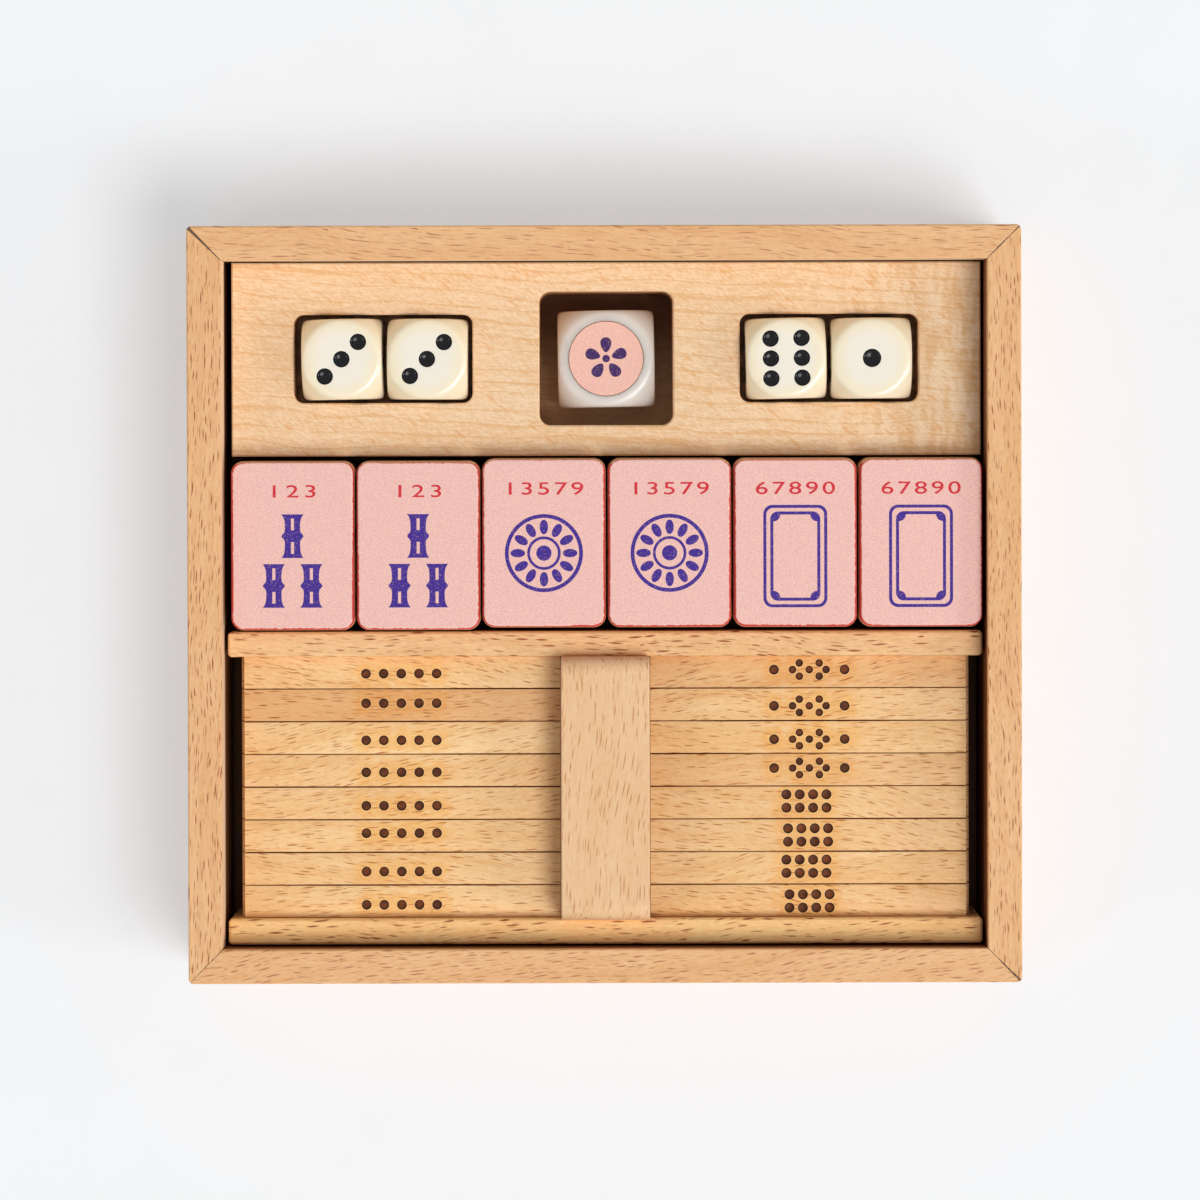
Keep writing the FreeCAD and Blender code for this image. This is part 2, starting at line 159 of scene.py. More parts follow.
class DiceSettings(bpy.types.PropertyGroup):
    ivory: colour_of("Ivory", "Colour of the dice", 255, 242, 227)
    # The next colour is painted shade on the dice's corners.
    ivory_shade: colour_of("Ivory shade", "Warmer corners of the dice", 255, 236, 207)
    pip: colour_of("Pip", "Paint in the pips", 16, 16, 20)
    opal: colour_of("Opal", "Colour of the wind cube", 246, 238, 226)
    opal_cloud: colour_of("Opal cloud", "Paler clouds in the opal", 248, 242, 233)
    disc: colour_of("Disc", "Disc on the wind cube", 245, 194, 174)
    disc_warm: colour_of("Disc, warm", "Warm specks of the disc", 248, 202, 178)
    disc_cool: colour_of("Disc, cool", "Cool specks of the disc", 236, 176, 182)
    disc_rim: colour_of("Disc rim", "Line round the disc", 116, 78, 52)
    disc_mark: colour_of("Disc figure", "Figure on the wind cube's disc", 66, 40, 98)
    pip_diameter: length_of("Pip diameter", "Diameter of a pip", 3.3)
    pip_depth: length_of("Pip depth", "Depth of a pip's cup", 0.7)
    pip_pitch: length_of("Pip pitch", "Step between pips along a row", 3.93)
    pip_columns: length_of("Pip columns", "Half the distance between two columns of pips", 3.06)
    pip_diagonal: length_of("Pip diagonal", "Step in X and Y along a diagonal of pips", 3.35)
    face_radius: length_of("Face radius", "Radius of a die's flat face", 7.46)
    cube_face_radius: length_of("Cube face radius", "Radius of the wind cube's flat face", 9.2)
    disc_diameter: length_of("Disc diameter", "Diameter of the wind cube's disc", 15.0)
    disc_height: length_of("Disc height", "Thickness of the disc", 0.05)
    disc_line: length_of("Disc line", "Width of the line round the disc", 0.14)


class TileSettings(bpy.types.PropertyGroup):
    pink: colour_of("Pink", "Face plate of a tile", 245, 194, 184)
    pink_warm: colour_of("Pink, warm", "Warm specks of the face plate", 252, 208, 187)
    pink_cool: colour_of("Pink, cool", "Cool specks of the face plate", 234, 180, 180)
    under_layer: colour_of("Under layer", "Red layer under the face plate", 206, 66, 58)
    core: colour_of("Core", "Wood of a tile", 214, 166, 122)
    under_paint: colour_of("Under paint", "What shows through worn paint", 241, 191, 181)
    figure: colour_of("Figure", "Paint of the figures", 66, 42, 142)
    number: colour_of("Number", "Paint of the numbers", 214, 44, 58)
    edge: length_of("Tile edge", "Rounding of the face plate", 0.55)
    core_edge: length_of("Core edge", "Softening of the edges of a tile's wood", 0.12)
    corner: length_of("Tile corner", "Radius of the face plate's corners", 2.33)
    skin: length_of("Skin", "Thickness of the pink skin on the red layer", 0.1)
    paint: length_of("Paint", "Thickness of the painted marks", 0.02)
    number_height: length_of("Number height", "Height of the numbers", 2.45)


class StickSettings(bpy.types.PropertyGroup):
    wood: colour_of("Stick wood", "Main colour of the counting sticks", 255, 216, 162)
    wood_dark: colour_of("Stick wood, dark", "Darker growth bands", 240, 186, 122)
    fleck: colour_of("Stick flecks", "Short rays in the sticks", 188, 118, 60)
    dark_stick: colour_of("Dark stick", "Tint of the darkest sticks", 214, 172, 140)
    burnt: colour_of("Burnt", "Bottom of a dot", 108, 52, 14)
    # The next colour is char together with painted shade just inside a dot's edge.
    char_and_shade_rim: colour_of("Burnt rim", "Charred edge of a dot", 40, 14, 2)
    scorch: colour_of("Scorch", "Tint of the wood warmed round a dot", 252, 226, 164)
    # The next colour is a painted highlight on the edge of a dot.
    glow: colour_of("Glow", "Pale ring right round a dot", 255, 226, 172)
    # The next colour is painted shade in the seams between the sticks.
    sawn: colour_of("Sawn", "Tint of a stick's edges, which the saw burnt", 136, 84, 48)
    edge: length_of("Stick edge", "Softening of a stick's edges", 0.13)
    dot_depth: length_of("Dot depth", "Depth of a dot", 0.4)
    large_dot: length_of("Large dot", "Diameter of a large dot", 1.9)
    small_dot: length_of("Small dot", "Diameter of a small dot", 1.47)
    seed: IntProperty(name="Seed", description="Picks the wood of the sticks", default=7)


class StageSettings(bpy.types.PropertyGroup):
    floor: colour_of("Floor", "Colour of the floor", 244, 246, 248)
    key_strength: FloatProperty(
        name="Key strength", description="Light of the key lamp on a square metre", default=1.6
    )
    key_width: angle_of("Key width", "How wide the key lamp is seen", 28)
    camera_height: length_of("Camera height", "From the rim to the camera", 1000)
    view_width: length_of("View width", "Width of the view at the rim", 235.8)
    view_x: length_of("View X", "Middle of the view left of the middle of the case", 0.81)
    view_y: length_of("View Y", "Middle of the view behind the middle of the case", 0.89)
    camera_y: length_of("Camera Y", "Camera behind the middle of the case", 34)
    camera_lean: angle_of("Camera lean", "Lean of the view towards the front", 0.7)
    camera_turn: angle_of("Camera turn", "Turn of the picture", 0.14)


SETTINGS = {
    "case_wood": WoodSettings,
    "case_dice": DiceSettings,
    "case_tiles": TileSettings,
    "case_sticks": StickSettings,
    "case_stage": StageSettings,
}


# Shader nodes


def add_node(tree, kind, inputs=None, **settings):
    """Adds a node. An input given as a socket is linked, and any other is set."""
    node = tree.nodes.new(kind)
    for name, value in settings.items():
        setattr(node, name, value)
    for key, value in (inputs or {}).items():
        if isinstance(value, bpy.types.NodeSocket):
            tree.links.new(value, node.inputs[key])
        else:
            node.inputs[key].default_value = value
    return node


def calculate(tree, operation, *values):
    node = add_node(tree, "ShaderNodeMath", dict(enumerate(values)), operation=operation)
    return node.outputs[0]


def on_vectors(tree, operation, *values):
    node = add_node(tree, "ShaderNodeVectorMath", dict(enumerate(values)), operation=operation)
    return node.outputs["Value" if operation in ("LENGTH", "DISTANCE") else "Vector"]


def mix(tree, share, first, second, blend="MIX"):
    """The first colour, or the second one where share is 1."""
    node = add_node(
        tree,
        "ShaderNodeMix",
        {0: share, 6: first, 7: second},
        data_type="RGBA",
        blend_type=blend,
        clamp_factor=True,
    )
    return node.outputs[2]


def fade(tree, value, start, end, low=0.0, high=1.0):
    """Goes smoothly from low to high as the value goes from start to end."""
    node = add_node(
        tree,
        "ShaderNodeMapRange",
        {0: value, 1: start, 2: end, 3: low, 4: high},
        interpolation_type="SMOOTHSTEP",
    )
    return node.outputs[0]


def swing(tree, value):
    """Noise that goes from 0 to 1, as a strong swing between -1 and 1."""
    return fade(tree, value, 0.3, 0.7, -1.0, 1.0)


def in_millimetres(tree, place):
    return on_vectors(tree, "MULTIPLY", place, (1 / MM, 1 / MM, 1 / MM))


def part_of(tree, place, axis):
    """The X, Y or Z of a place."""
    return add_node(tree, "ShaderNodeSeparateXYZ", {0: place}).outputs[axis]


def noise(tree, place, stretch, detail=2.0, roughness=0.5):
    """Noise from 0 to 1. Stretch is its features for each unit of place, or along X, Y and Z."""
    stretch = stretch if isinstance(stretch, tuple) else (stretch, stretch, stretch)
    values = {
        "Vector": on_vectors(tree, "MULTIPLY", place, stretch),
        "Scale": 1.0,
        "Detail": detail,
        "Roughness": roughness,
    }
    return add_node(tree, "ShaderNodeTexNoise", values).outputs[0]


def grey(tree, value):
    return add_node(tree, "ShaderNodeCombineColor", {0: value, 1: value, 2: value}).outputs[0]


def make_group(name, inputs, outputs):
    """A node group with its inputs and outputs. A kind of socket is Float, Vector or Color."""
    group = bpy.data.node_groups.new(name, "ShaderNodeTree")
    for direction, sockets in (("INPUT", inputs), ("OUTPUT", outputs)):
        for label, (kind, default) in sockets.items():
            socket = group.interface.new_socket(
                name=label, in_out=direction, socket_type=f"NodeSocket{kind}"
            )
            socket.default_value = default
    given = group.nodes.new("NodeGroupInput").outputs
    result = group.nodes.new("NodeGroupOutput").inputs
    return group, given, result


def use_group(tree, group, inputs):
    return add_node(tree, "ShaderNodeGroup", inputs, node_tree=group).outputs


ANY_FLOAT = ("Float", 0.0)
ANY_VECTOR = ("Vector", (0.0, 0.0, 0.0))
ANY_COLOUR = ("Color", (0.5, 0.5, 0.5, 1.0))


def make_flecks_group():
    """Short dark spindles along X, flat on level and upright faces, on a place in millimetres."""
    inputs = {"Place": ANY_VECTOR, "Length": ANY_FLOAT, "Width": ANY_FLOAT, "Amount": ANY_FLOAT}
    group, given, result = make_group("Beech flecks", inputs, {"Flecks": ANY_FLOAT})
    normal = add_node(group, "ShaderNodeNewGeometry").outputs["Normal"]
    upright = part_of(group, normal, "Z")
    on_side = fade(group, calculate(group, "ABSOLUTE", upright), 0.6, 0.4)
    masks = []
    for shift, size, strength, share in ((0.0, 1.0, 1.0, 1.0), (31.7, 0.6, 0.6, 0.45)):
        length = calculate(group, "MULTIPLY", given["Length"], 1.35 * size)
        width = calculate(group, "MULTIPLY", given["Width"], 3.3 * size)
        cell = add_node(group, "ShaderNodeCombineXYZ", {0: length, 1: width, 2: width}).outputs[0]
        moved = on_vectors(group, "ADD", given["Place"], (shift, shift, shift))
        scaled = on_vectors(group, "DIVIDE", moved, cell)
        spots = add_node(
            group, "ShaderNodeTexVoronoi", {"Vector": scaled, "Scale": 1.0, "Randomness": 0.9}
        ).outputs
        offset = on_vectors(group, "SUBTRACT", scaled, spots["Position"])
        parts = add_node(group, "ShaderNodeSeparateXYZ", {0: offset}).outputs
        drawn = add_node(group, "ShaderNodeSeparateColor", {0: spots["Color"]}).outputs
        reach = calculate(group, "MULTIPLY_ADD", drawn[0], 0.22, 0.26)
        along = calculate(group, "DIVIDE", calculate(group, "ABSOLUTE", parts[0]), reach)
        half = calculate(group, "MULTIPLY_ADD", drawn[1], 0.09, 0.11)
        flat = calculate(group, "MULTIPLY_ADD", parts[2], 0.2, parts[1])
        steep = calculate(group, "MULTIPLY_ADD", parts[1], 0.2, parts[2])
        turned_over = calculate(group, "SUBTRACT", steep, flat)
        across = calculate(group, "MULTIPLY_ADD", turned_over, on_side, flat)
        across = calculate(group, "DIVIDE", calculate(group, "ABSOLUTE", across), half)
        from_axis = calculate(group, "ADD", calculate(group, "POWER", along, 1.7), across)
        amount = calculate(group, "MULTIPLY", given["Amount"], share)
        present = calculate(group, "LESS_THAN", drawn[2], amount)
        depth = calculate(group, "MULTIPLY_ADD", drawn[1], 0.5 * strength, 0.5 * strength)
        shape = calculate(group, "MULTIPLY", fade(group, from_axis, 1.15, 0.55), present)
        masks.append(calculate(group, "MULTIPLY", shape, depth))
    group.links.new(calculate(group, "MAXIMUM", *masks), result["Flecks"])
    return group


def make_wood_group(flecks):
    """Growth lines, fibres, mottling and flecks. Place is in metres, with the grain along X."""
    inputs = {
        "Place": ANY_VECTOR,
        "Light": ANY_COLOUR,
        "Dark": ANY_COLOUR,
        "Fleck": ANY_COLOUR,
        "Fleck Length": ANY_FLOAT,
        "Fleck Width": ANY_FLOAT,
        "Fleck Amount": ANY_FLOAT,
        "Bands": ANY_FLOAT,
        "Lines": ANY_FLOAT,
        "Line Step": ("Float", 2.6),
        "Mottle": ANY_FLOAT,
        "Curl": ANY_FLOAT,
    }
    outputs = {"Color": ANY_COLOUR, "Roughness": ANY_FLOAT, "Height": ANY_FLOAT}
    group, given, result = make_group("Wood", inputs, outputs)
    place = in_millimetres(group, given["Place"])
    sway = noise(group, place, (0.03, 0.02, 0.02), 1.0)
    drift = calculate(group, "MULTIPLY_ADD", sway, 6.0, -3.0)
    drift = add_node(group, "ShaderNodeCombineXYZ", {1: drift, 2: drift}).outputs[0]
    swayed = on_vectors(group, "ADD", place, drift)
    diagonal = add_node(
        group, "ShaderNodeMapping", {"Vector": place, "Rotation": (0, 0, math.radians(32))}
    ).outputs[0]
    broad = noise(group, swayed, (0.02, 0.14, 0.14), 2.0)
    rings = noise(group, swayed, (0.012, 0.42, 0.42), 2.0)
    fibres = noise(group, swayed, (0.3, 2.8, 2.8), 3.0, 0.65)
    feather = noise(group, diagonal, (0.9, 2.6, 2.6), 3.0, 0.65)
    curl = noise(group, place, (0.5, 0.14, 0.14), 2.0)
    years = calculate(group, "DIVIDE", part_of(group, swayed, "Y"), given["Line Step"])
    year = calculate(group, "FRACT", calculate(group, "MULTIPLY_ADD", rings, 1.4, years))
    late = calculate(group, "POWER", fade(group, year, 0.6, 0.95), 3.0)
    lines = calculate(group, "MULTIPLY", late, fade(group, year, 1.0, 0.95))
    share = calculate(group, "MULTIPLY_ADD", swing(group, fibres), 0.26, 0.42)
    for value, weight in (
        (swing(group, broad), calculate(group, "MULTIPLY", given["Bands"], 0.5)),
        (swing(group, rings), calculate(group, "MULTIPLY", given["Bands"], 0.5)),
        (swing(group, feather), given["Mottle"]),
        (swing(group, curl), given["Curl"]),
        (lines, given["Lines"]),
    ):
        share = calculate(group, "MULTIPLY_ADD", value, weight, share)
    ground = mix(group, share, given["Light"], given["Dark"])
    rays = use_group(
        group,
        flecks,
        {
            "Place": swayed,
            "Length": given["Fleck Length"],
            "Width": given["Fleck Width"],
            "Amount": given["Fleck Amount"],
        },
    )["Flecks"]
    group.links.new(mix(group, rays, ground, given["Fleck"]), result["Color"])
    rough = calculate(group, "MULTIPLY_ADD", fibres, 0.16, 0.44)
    group.links.new(calculate(group, "MULTIPLY_ADD", rays, 0.12, rough), result["Roughness"])
    half_feather = calculate(group, "MULTIPLY", feather, 0.5)
    height = calculate(group, "MULTIPLY_ADD", fibres, 0.5, half_feather)
    group.links.new(height, result["Height"])
    return group


def make_box_group():
    """1 inside an upright box about a centre, fading over a soft edge. All in millimetres."""
    inputs = {"Place": ANY_VECTOR, "Centre": ANY_VECTOR, "Half": ANY_VECTOR, "Edge": ANY_FLOAT}
    group, given, result = make_group("Inside a box", inputs, {"Inside": ANY_FLOAT})
    offset = on_vectors(group, "SUBTRACT", given["Place"], given["Centre"])
    beyond = on_vectors(group, "SUBTRACT", on_vectors(group, "ABSOLUTE", offset), given["Half"])
    parts = add_node(group, "ShaderNodeSeparateXYZ", {0: beyond}).outputs
    outside = calculate(group, "MAXIMUM", calculate(group, "MAXIMUM", parts[0], parts[1]), parts[2])
    ratio = calculate(group, "DIVIDE", outside, given["Edge"])
    group.links.new(fade(group, ratio, 1.0, 0.0), result["Inside"])
    return group


def make_joint_group():
    """1 in a wedge on a mitre, Start wide at its outer corner and End wide at its inner one."""
    inputs = {
        "Place": ANY_VECTOR,
        "Corner": ANY_VECTOR,
        "Side": ANY_FLOAT,
        "Start": ANY_FLOAT,
        "End": ANY_FLOAT,
    }
    group, given, result = make_group("Mitre", inputs, {"Inside": ANY_FLOAT})
    offset = on_vectors(group, "SUBTRACT", given["Place"], given["Corner"])
    parts = add_node(group, "ShaderNodeSeparateXYZ", {0: offset}).outputs
    inward = calculate(group, "ABSOLUTE", parts[0])
    along = calculate(group, "DIVIDE", inward, MEMBER_WIDTH)
    mirrored = calculate(group, "MULTIPLY", parts[0], given["Side"])
    away = calculate(group, "ABSOLUTE", calculate(group, "SUBTRACT", mirrored, parts[1]))
    wander = noise(group, given["Place"], 0.4, 3.0)
    away = calculate(group, "MULTIPLY_ADD", swing(group, wander), 0.05, away)
    taper = calculate(group, "SUBTRACT", given["End"], given["Start"])
    width = calculate(group, "MULTIPLY_ADD", along, taper, given["Start"])
    ratio = calculate(group, "DIVIDE", away, calculate(group, "MULTIPLY", width, 0.72))
    near = fade(group, along, 1.1, 1.0)
    inside = calculate(group, "MULTIPLY", fade(group, ratio, 1.15, 0.85), near)
    group.links.new(inside, result["Inside"])
    return group


def make_grain_group():
    """The fine pebbled grain of the tiles' faces, leaning to one diagonal."""
    inputs = {
        "Place": ANY_VECTOR,
        "Main": ANY_COLOUR,
        "Warm": ANY_COLOUR,
        "Cool": ANY_COLOUR,
        "Roughness": ("Float", 0.5),
    }
    outputs = {"Color": ANY_COLOUR, "Roughness": ANY_FLOAT, "Height": ANY_FLOAT}
    group, given, result = make_group("Pebbled grain", inputs, outputs)
    leaning = add_node(
        group,
        "ShaderNodeMapping",
        {
            "Vector": in_millimetres(group, given["Place"]),
            "Rotation": (0, 0, math.radians(-52)),
            "Scale": (0.75, 1.4, 1.0),
        },
    ).outputs[0]
    grit = noise(group, leaning, 3.6, 2.0, 0.6)
    specks = noise(group, leaning, 4.4, 1.0)
    colour = mix(group, fade(group, specks, 0.5, 0.7), given["Main"], given["Warm"])
    colour = mix(group, fade(group, specks, 0.5, 0.3), colour, given["Cool"])
    shade = grey(group, fade(group, grit, 0.28, 0.72, 0.9, 1.07))
    group.links.new(mix(group, 1.0, colour, shade, "MULTIPLY"), result["Color"])
    dull = calculate(group, "ADD", given["Roughness"], 0.08)
    bright = calculate(group, "SUBTRACT", given["Roughness"], 0.06)
    group.links.new(fade(group, grit, 0.25, 0.75, dull, bright), result["Roughness"])
    group.links.new(grit, result["Height"])
    return group


def make_paint_group():
    """Matt paint, broken by light specks where the grain shows through."""
    inputs = {"Place": ANY_VECTOR, "Paint": ANY_COLOUR, "Under": ANY_COLOUR}
    outputs = {"Color": ANY_COLOUR, "Roughness": ANY_FLOAT, "Height": ANY_FLOAT}
    group, given, result = make_group("Worn paint", inputs, outputs)
    specks = noise(group, given["Place"], 3100, 2.0, 0.6)
    thin = calculate(group, "MULTIPLY", fade(group, specks, 0.54, 0.7), 0.5)
    pale = mix(group, 0.45, given["Paint"], given["Under"])
    group.links.new(mix(group, thin, given["Paint"], pale), result["Color"])
    group.links.new(fade(group, specks, 0.3, 0.7, 0.5, 0.65), result["Roughness"])
    group.links.new(specks, result["Height"])
    return group


def make_burnt_dots_group(sticks):
    """Wood with burnt dots in it. Distance is from the rim of the nearest dot, in millimetres."""
    inputs = {"Wood": ANY_COLOUR, "Grain": ANY_VECTOR, "Distance": ANY_FLOAT}
    group, given, result = make_group("Burnt dots", inputs, {"Color": ANY_COLOUR})
    fibre, distance = in_millimetres(group, given["Grain"]), given["Distance"]
    drift = noise(group, fibre, (0.5, 0.9, 0.9), 2.0)
    reach = fade(group, drift, 0.3, 0.7, 1.6, 4.2)
    smoke = fade(group, calculate(group, "DIVIDE", distance, reach), 1.0, 0.0)
    smoke = calculate(group, "MULTIPLY", smoke, 0.62)
    colour = mix(group, smoke, given["Wood"], opaque(sticks.scorch), "MULTIPLY")
    # Painted highlight: a pale ring on the rounded edge of each dot.
    from_ring = calculate(group, "ABSOLUTE", calculate(group, "SUBTRACT", distance, 0.1))
    ring = calculate(group, "MULTIPLY", fade(group, from_ring, 0.12, 0.0), 0.35)
    colour = mix(group, ring, colour, opaque(sticks.glow))
    threads = noise(group, fibre, (0.9, 5.5, 0.9), 2.0, 0.7)
    deeper = noise(group, fibre, (0.33, 0.6, 0.33), 1.0)
    heat = calculate(group, "MULTIPLY_ADD", swing(group, threads), 0.35, swing(group, deeper))
    black, brown = (opaque(tuple(v * share for v in sticks.burnt)) for share in (0.55, 1.2))
    char = mix(group, fade(group, heat, -1.0, 1.0), black, brown)
    # Char, with painted shade, darkens each dot just inside its edge.
    rim = calculate(group, "MULTIPLY", fade(group, distance, -0.4, -0.05), 0.8)
    char = mix(group, rim, char, opaque(sticks.char_and_shade_rim))
    colour = mix(group, fade(group, distance, 0.06, -0.02), colour, char)
    group.links.new(colour, result["Color"])
    return group


def stick_pitch(side):
    """The step from one row of sticks to the next."""
    first, second = (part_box(f"{side}_stick_{row}")[0].y for row in (STICK_ROWS, STICK_ROWS - 1))
    return second - first


def make_seam_shade_group(sticks):
    """Painted shade along the sticks' upper edges, darkening the seams between them. Above is the
    height over the middle.
    """
    inputs = {"Wood": ANY_COLOUR, "Place": ANY_VECTOR, "Above": ANY_FLOAT}
    group, given, result = make_group("Sawn edges", inputs, {"Color": ANY_COLOUR})
    low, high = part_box(f"left_stick_{STICK_ROWS}")
    half, pitch, edge = (high - low) / 2, stick_pitch("left"), sticks.edge
    start = low.y + half.y - pitch / 2
    from_start = calculate(group, "SUBTRACT", part_of(group, given["Place"], "Y"), start)
    within = calculate(group, "MODULO", from_start, pitch)
    away = calculate(group, "ABSOLUTE", calculate(group, "SUBTRACT", within, pitch / 2))
    side = fade(group, away, half.y - 0.95 * edge, half.y - 0.3 * edge)
    near_top = fade(group, given["Above"], half.z - 4 * edge, half.z - 2 * edge)
    seam_shade_change = noise(group, in_millimetres(group, given["Place"]), (0.02, 0.17, 0.17), 2.0)
    rubbed = calculate(group, "MULTIPLY", side, near_top)
    rubbed = calculate(group, "MULTIPLY", rubbed, fade(group, seam_shade_change, 0.4, 0.6, 0.2, 1.0))
    # Painted shade: the seams between sticks darker, more so in some places.
    colour = mix(group, rubbed, given["Wood"], opaque(sticks.sawn), "MULTIPLY")
    group.links.new(colour, result["Color"])
    return group


def make_dots_group(name, dots):
    """How far a place on a stick lies from the rim of the nearest dot, negative inside it."""
    group, given, result = make_group(name, {"Place": ANY_VECTOR}, {"Distance": ANY_FLOAT})
    flat = on_vectors(group, "MULTIPLY", given["Place"], (1 / MM, 1 / MM, 0))
    nearest = None
    for x, y, radius in dots:
        away = on_vectors(group, "DISTANCE", flat, (x / MM, y / MM, 0))
        from_rim = calculate(group, "SUBTRACT", away, radius / MM)
        nearest = calculate(group, "MINIMUM", nearest, from_rim) if nearest else from_rim
    group.links.new(nearest, result["Distance"])
    return group


GROUPS = {}


def groups():
    """The shared node groups, made once."""
    if not GROUPS:
        GROUPS["flecks"] = make_flecks_group()
        GROUPS["wood"] = make_wood_group(GROUPS["flecks"])
        GROUPS["box"] = make_box_group()
        GROUPS["joint"] = make_joint_group()
        GROUPS["grain"] = make_grain_group()
        GROUPS["paint"] = make_paint_group()
        GROUPS["burnt"] = make_burnt_dots_group(bpy.context.scene.case_sticks)
        GROUPS["sawn"] = make_seam_shade_group(bpy.context.scene.case_sticks)
    return GROUPS


# Materials

# The materials that pieces of several operators share.
MATERIALS = {}


def new_material(name):
    """A material with its node tree and its Principled BSDF."""
    material = bpy.data.materials.new(name)
    material.use_nodes = True
    tree = material.node_tree
    return material, tree, tree.nodes["Principled BSDF"]


def own_place(tree):
    return add_node(tree, "ShaderNodeTexCoord").outputs["Object"]


def add_bump(tree, shader, height, distance, strength):
    bump = add_node(
        tree, "ShaderNodeBump", {"Height": height, "Distance": distance, "Strength": strength}
    )
    tree.links.new(bump.outputs[0], shader.inputs["Normal"])


def turned(tree, place, degrees, shift):
    """The place turned about Z, so that the grain runs along its X, and moved to fresh wood."""
    mapping = add_node(
        tree,
        "ShaderNodeMapping",
        {
            "Vector": place,
            "Rotation": (0, 0, math.radians(degrees)),
            "Location": (shift, 0.37 * shift, 0.61 * shift),
        },
    )
    return mapping.outputs[0]


def wood_look(tree, wood, place, **changes):
    """What the wood group puts out for beech, with what differs."""
    values = {
        "light": wood.beech,
        "dark": wood.beech_dark,
        "fleck": wood.beech_fleck,
        "fleck_length": wood.fleck_length / MM,
        "fleck_width": wood.fleck_width / MM,
        "fleck_amount": 0.75,
        "bands": 0.3,
        "lines": 0.12,
        "mottle": 0.16,
        "curl": 0.0,
        **changes,
    }
    for name in ("light", "dark", "fleck"):
        values[name] = opaque(values[name])
    inputs = {name.replace("_", " ").title(): value for name, value in values.items()}
    return use_group(tree, groups()["wood"], {"Place": place, **inputs})


def inside_box(tree, millimetres, low, high, edge):
    """1 in an upright box, with everything in millimetres."""
    values = {"Centre": (low + high) / 2, "Half": (high - low) / 2, "Edge": edge}
    return use_group(tree, groups()["box"], {"Place": millimetres, **values})["Inside"]


def finish(tree, shader, look, specular, relief, strength, colour=None):
    """Links what a group puts out to the shader, with another colour if one is given."""
    tree.links.new(colour or look["Color"], shader.inputs["Base Color"])
    tree.links.new(look["Roughness"], shader.inputs["Roughness"])
    shader.inputs["Specular IOR Level"].default_value = specular
    add_bump(tree, shader, look["Height"], relief, strength)


def finish_wood(tree, shader, look, colour=None):
    finish(tree, shader, look, 0.22, 0.03 * MM, 0.6, colour)


def beech_material(name, wood, degrees, shift, **changes):
    """Beech whose grain runs at an angle from X."""
    material, tree, shader = new_material(name)
    place = turned(tree, own_place(tree), -degrees, shift)
    finish_wood(tree, shader, wood_look(tree, wood, place, **changes))
    return material


# For each mitre: its corner, the side of the corner that its line leaves from, how wide the line is
# at the outer and at the inner corner in millimetres, its darkness and how much of it shows.
JOINTS = (
    (-1, 1, -1.0, 0.75, 0.1, 1.0, 1.0),
    (1, 1, 1.0, 0.22, 0.15, 0.5, 0.9),
    (1, -1, -1.0, 0.5, 0.06, 0.8, 0.99),
    (-1, -1, 1.0, 0.1, 0.18, 0.6, 0.9),
)


def frame_material(node, wood, shift, board):
    """Beech with the lines of its mitres. Inside, painted light makes it paler near the rim, and
    painted shade makes it darker below.
    """
    degrees, length, width, amount, contrast, pale_wood = board
    material, tree, shader = new_material(f"{node}_beech")
    place = own_place(tree)
    ray = tuple(contrast * f + (1 - contrast) * b for f, b in zip(wood.beech_fleck, wood.beech))
    look = wood_look(
        tree,
        wood,
        turned(tree, place, -degrees, shift),
        fleck=ray,
        fleck_length=length,
        fleck_width=width,
        fleck_amount=amount,
    )
    millimetres = in_millimetres(tree, place)
    crumbling = fade(tree, noise(tree, millimetres, 0.9, 3.0, 0.7), 0.35, 0.55, 0.3, 1.0)
    colour = look["Color"]
    for x, y, side, start, end, dark, cover in JOINTS:
        corner = Vector((x * CASE_HIGH.x, y * CASE_HIGH.y, 0)) / MM
        values = {"Corner": corner, "Side": side, "Start": start, "End": end}
        joint = use_group(tree, groups()["joint"], {"Place": millimetres, **values})["Inside"]
        if cover < 1:
            shown = calculate(tree, "MULTIPLY", crumbling, cover)
            joint = calculate(tree, "MULTIPLY", joint, shown)
        colour = mix(tree, joint, colour, opaque(tuple(v * dark for v in wood.glue)))
    low = Vector((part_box("frame_left")[1].x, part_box("frame_front")[1].y, 0)) / MM
    high = Vector((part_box("frame_right")[0].x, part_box("frame_back")[0].y, CASE_HIGH.z)) / MM
    # Painted light: paler wood near the rim, where light falls on the inner walls.
    rim = inside_box(tree, millimetres, low, high - Vector((0, 0, 0.6)), 0.3)
    rim = calculate(tree, "MULTIPLY", rim, min(pale_wood, 0.8))
    colour = mix(tree, rim, colour, opaque(wood.pale_wood))
    # Painted shade: the inner walls darker further down.
    deep_painted_shade = inside_box(tree, millimetres, low, high - Vector((0, 0, 3.0 + pale_wood)), 2.0)
    colour = mix(tree, deep_painted_shade, colour, opaque(wood.inside), "MULTIPLY")
    finish_wood(tree, shader, look, colour)
    return material


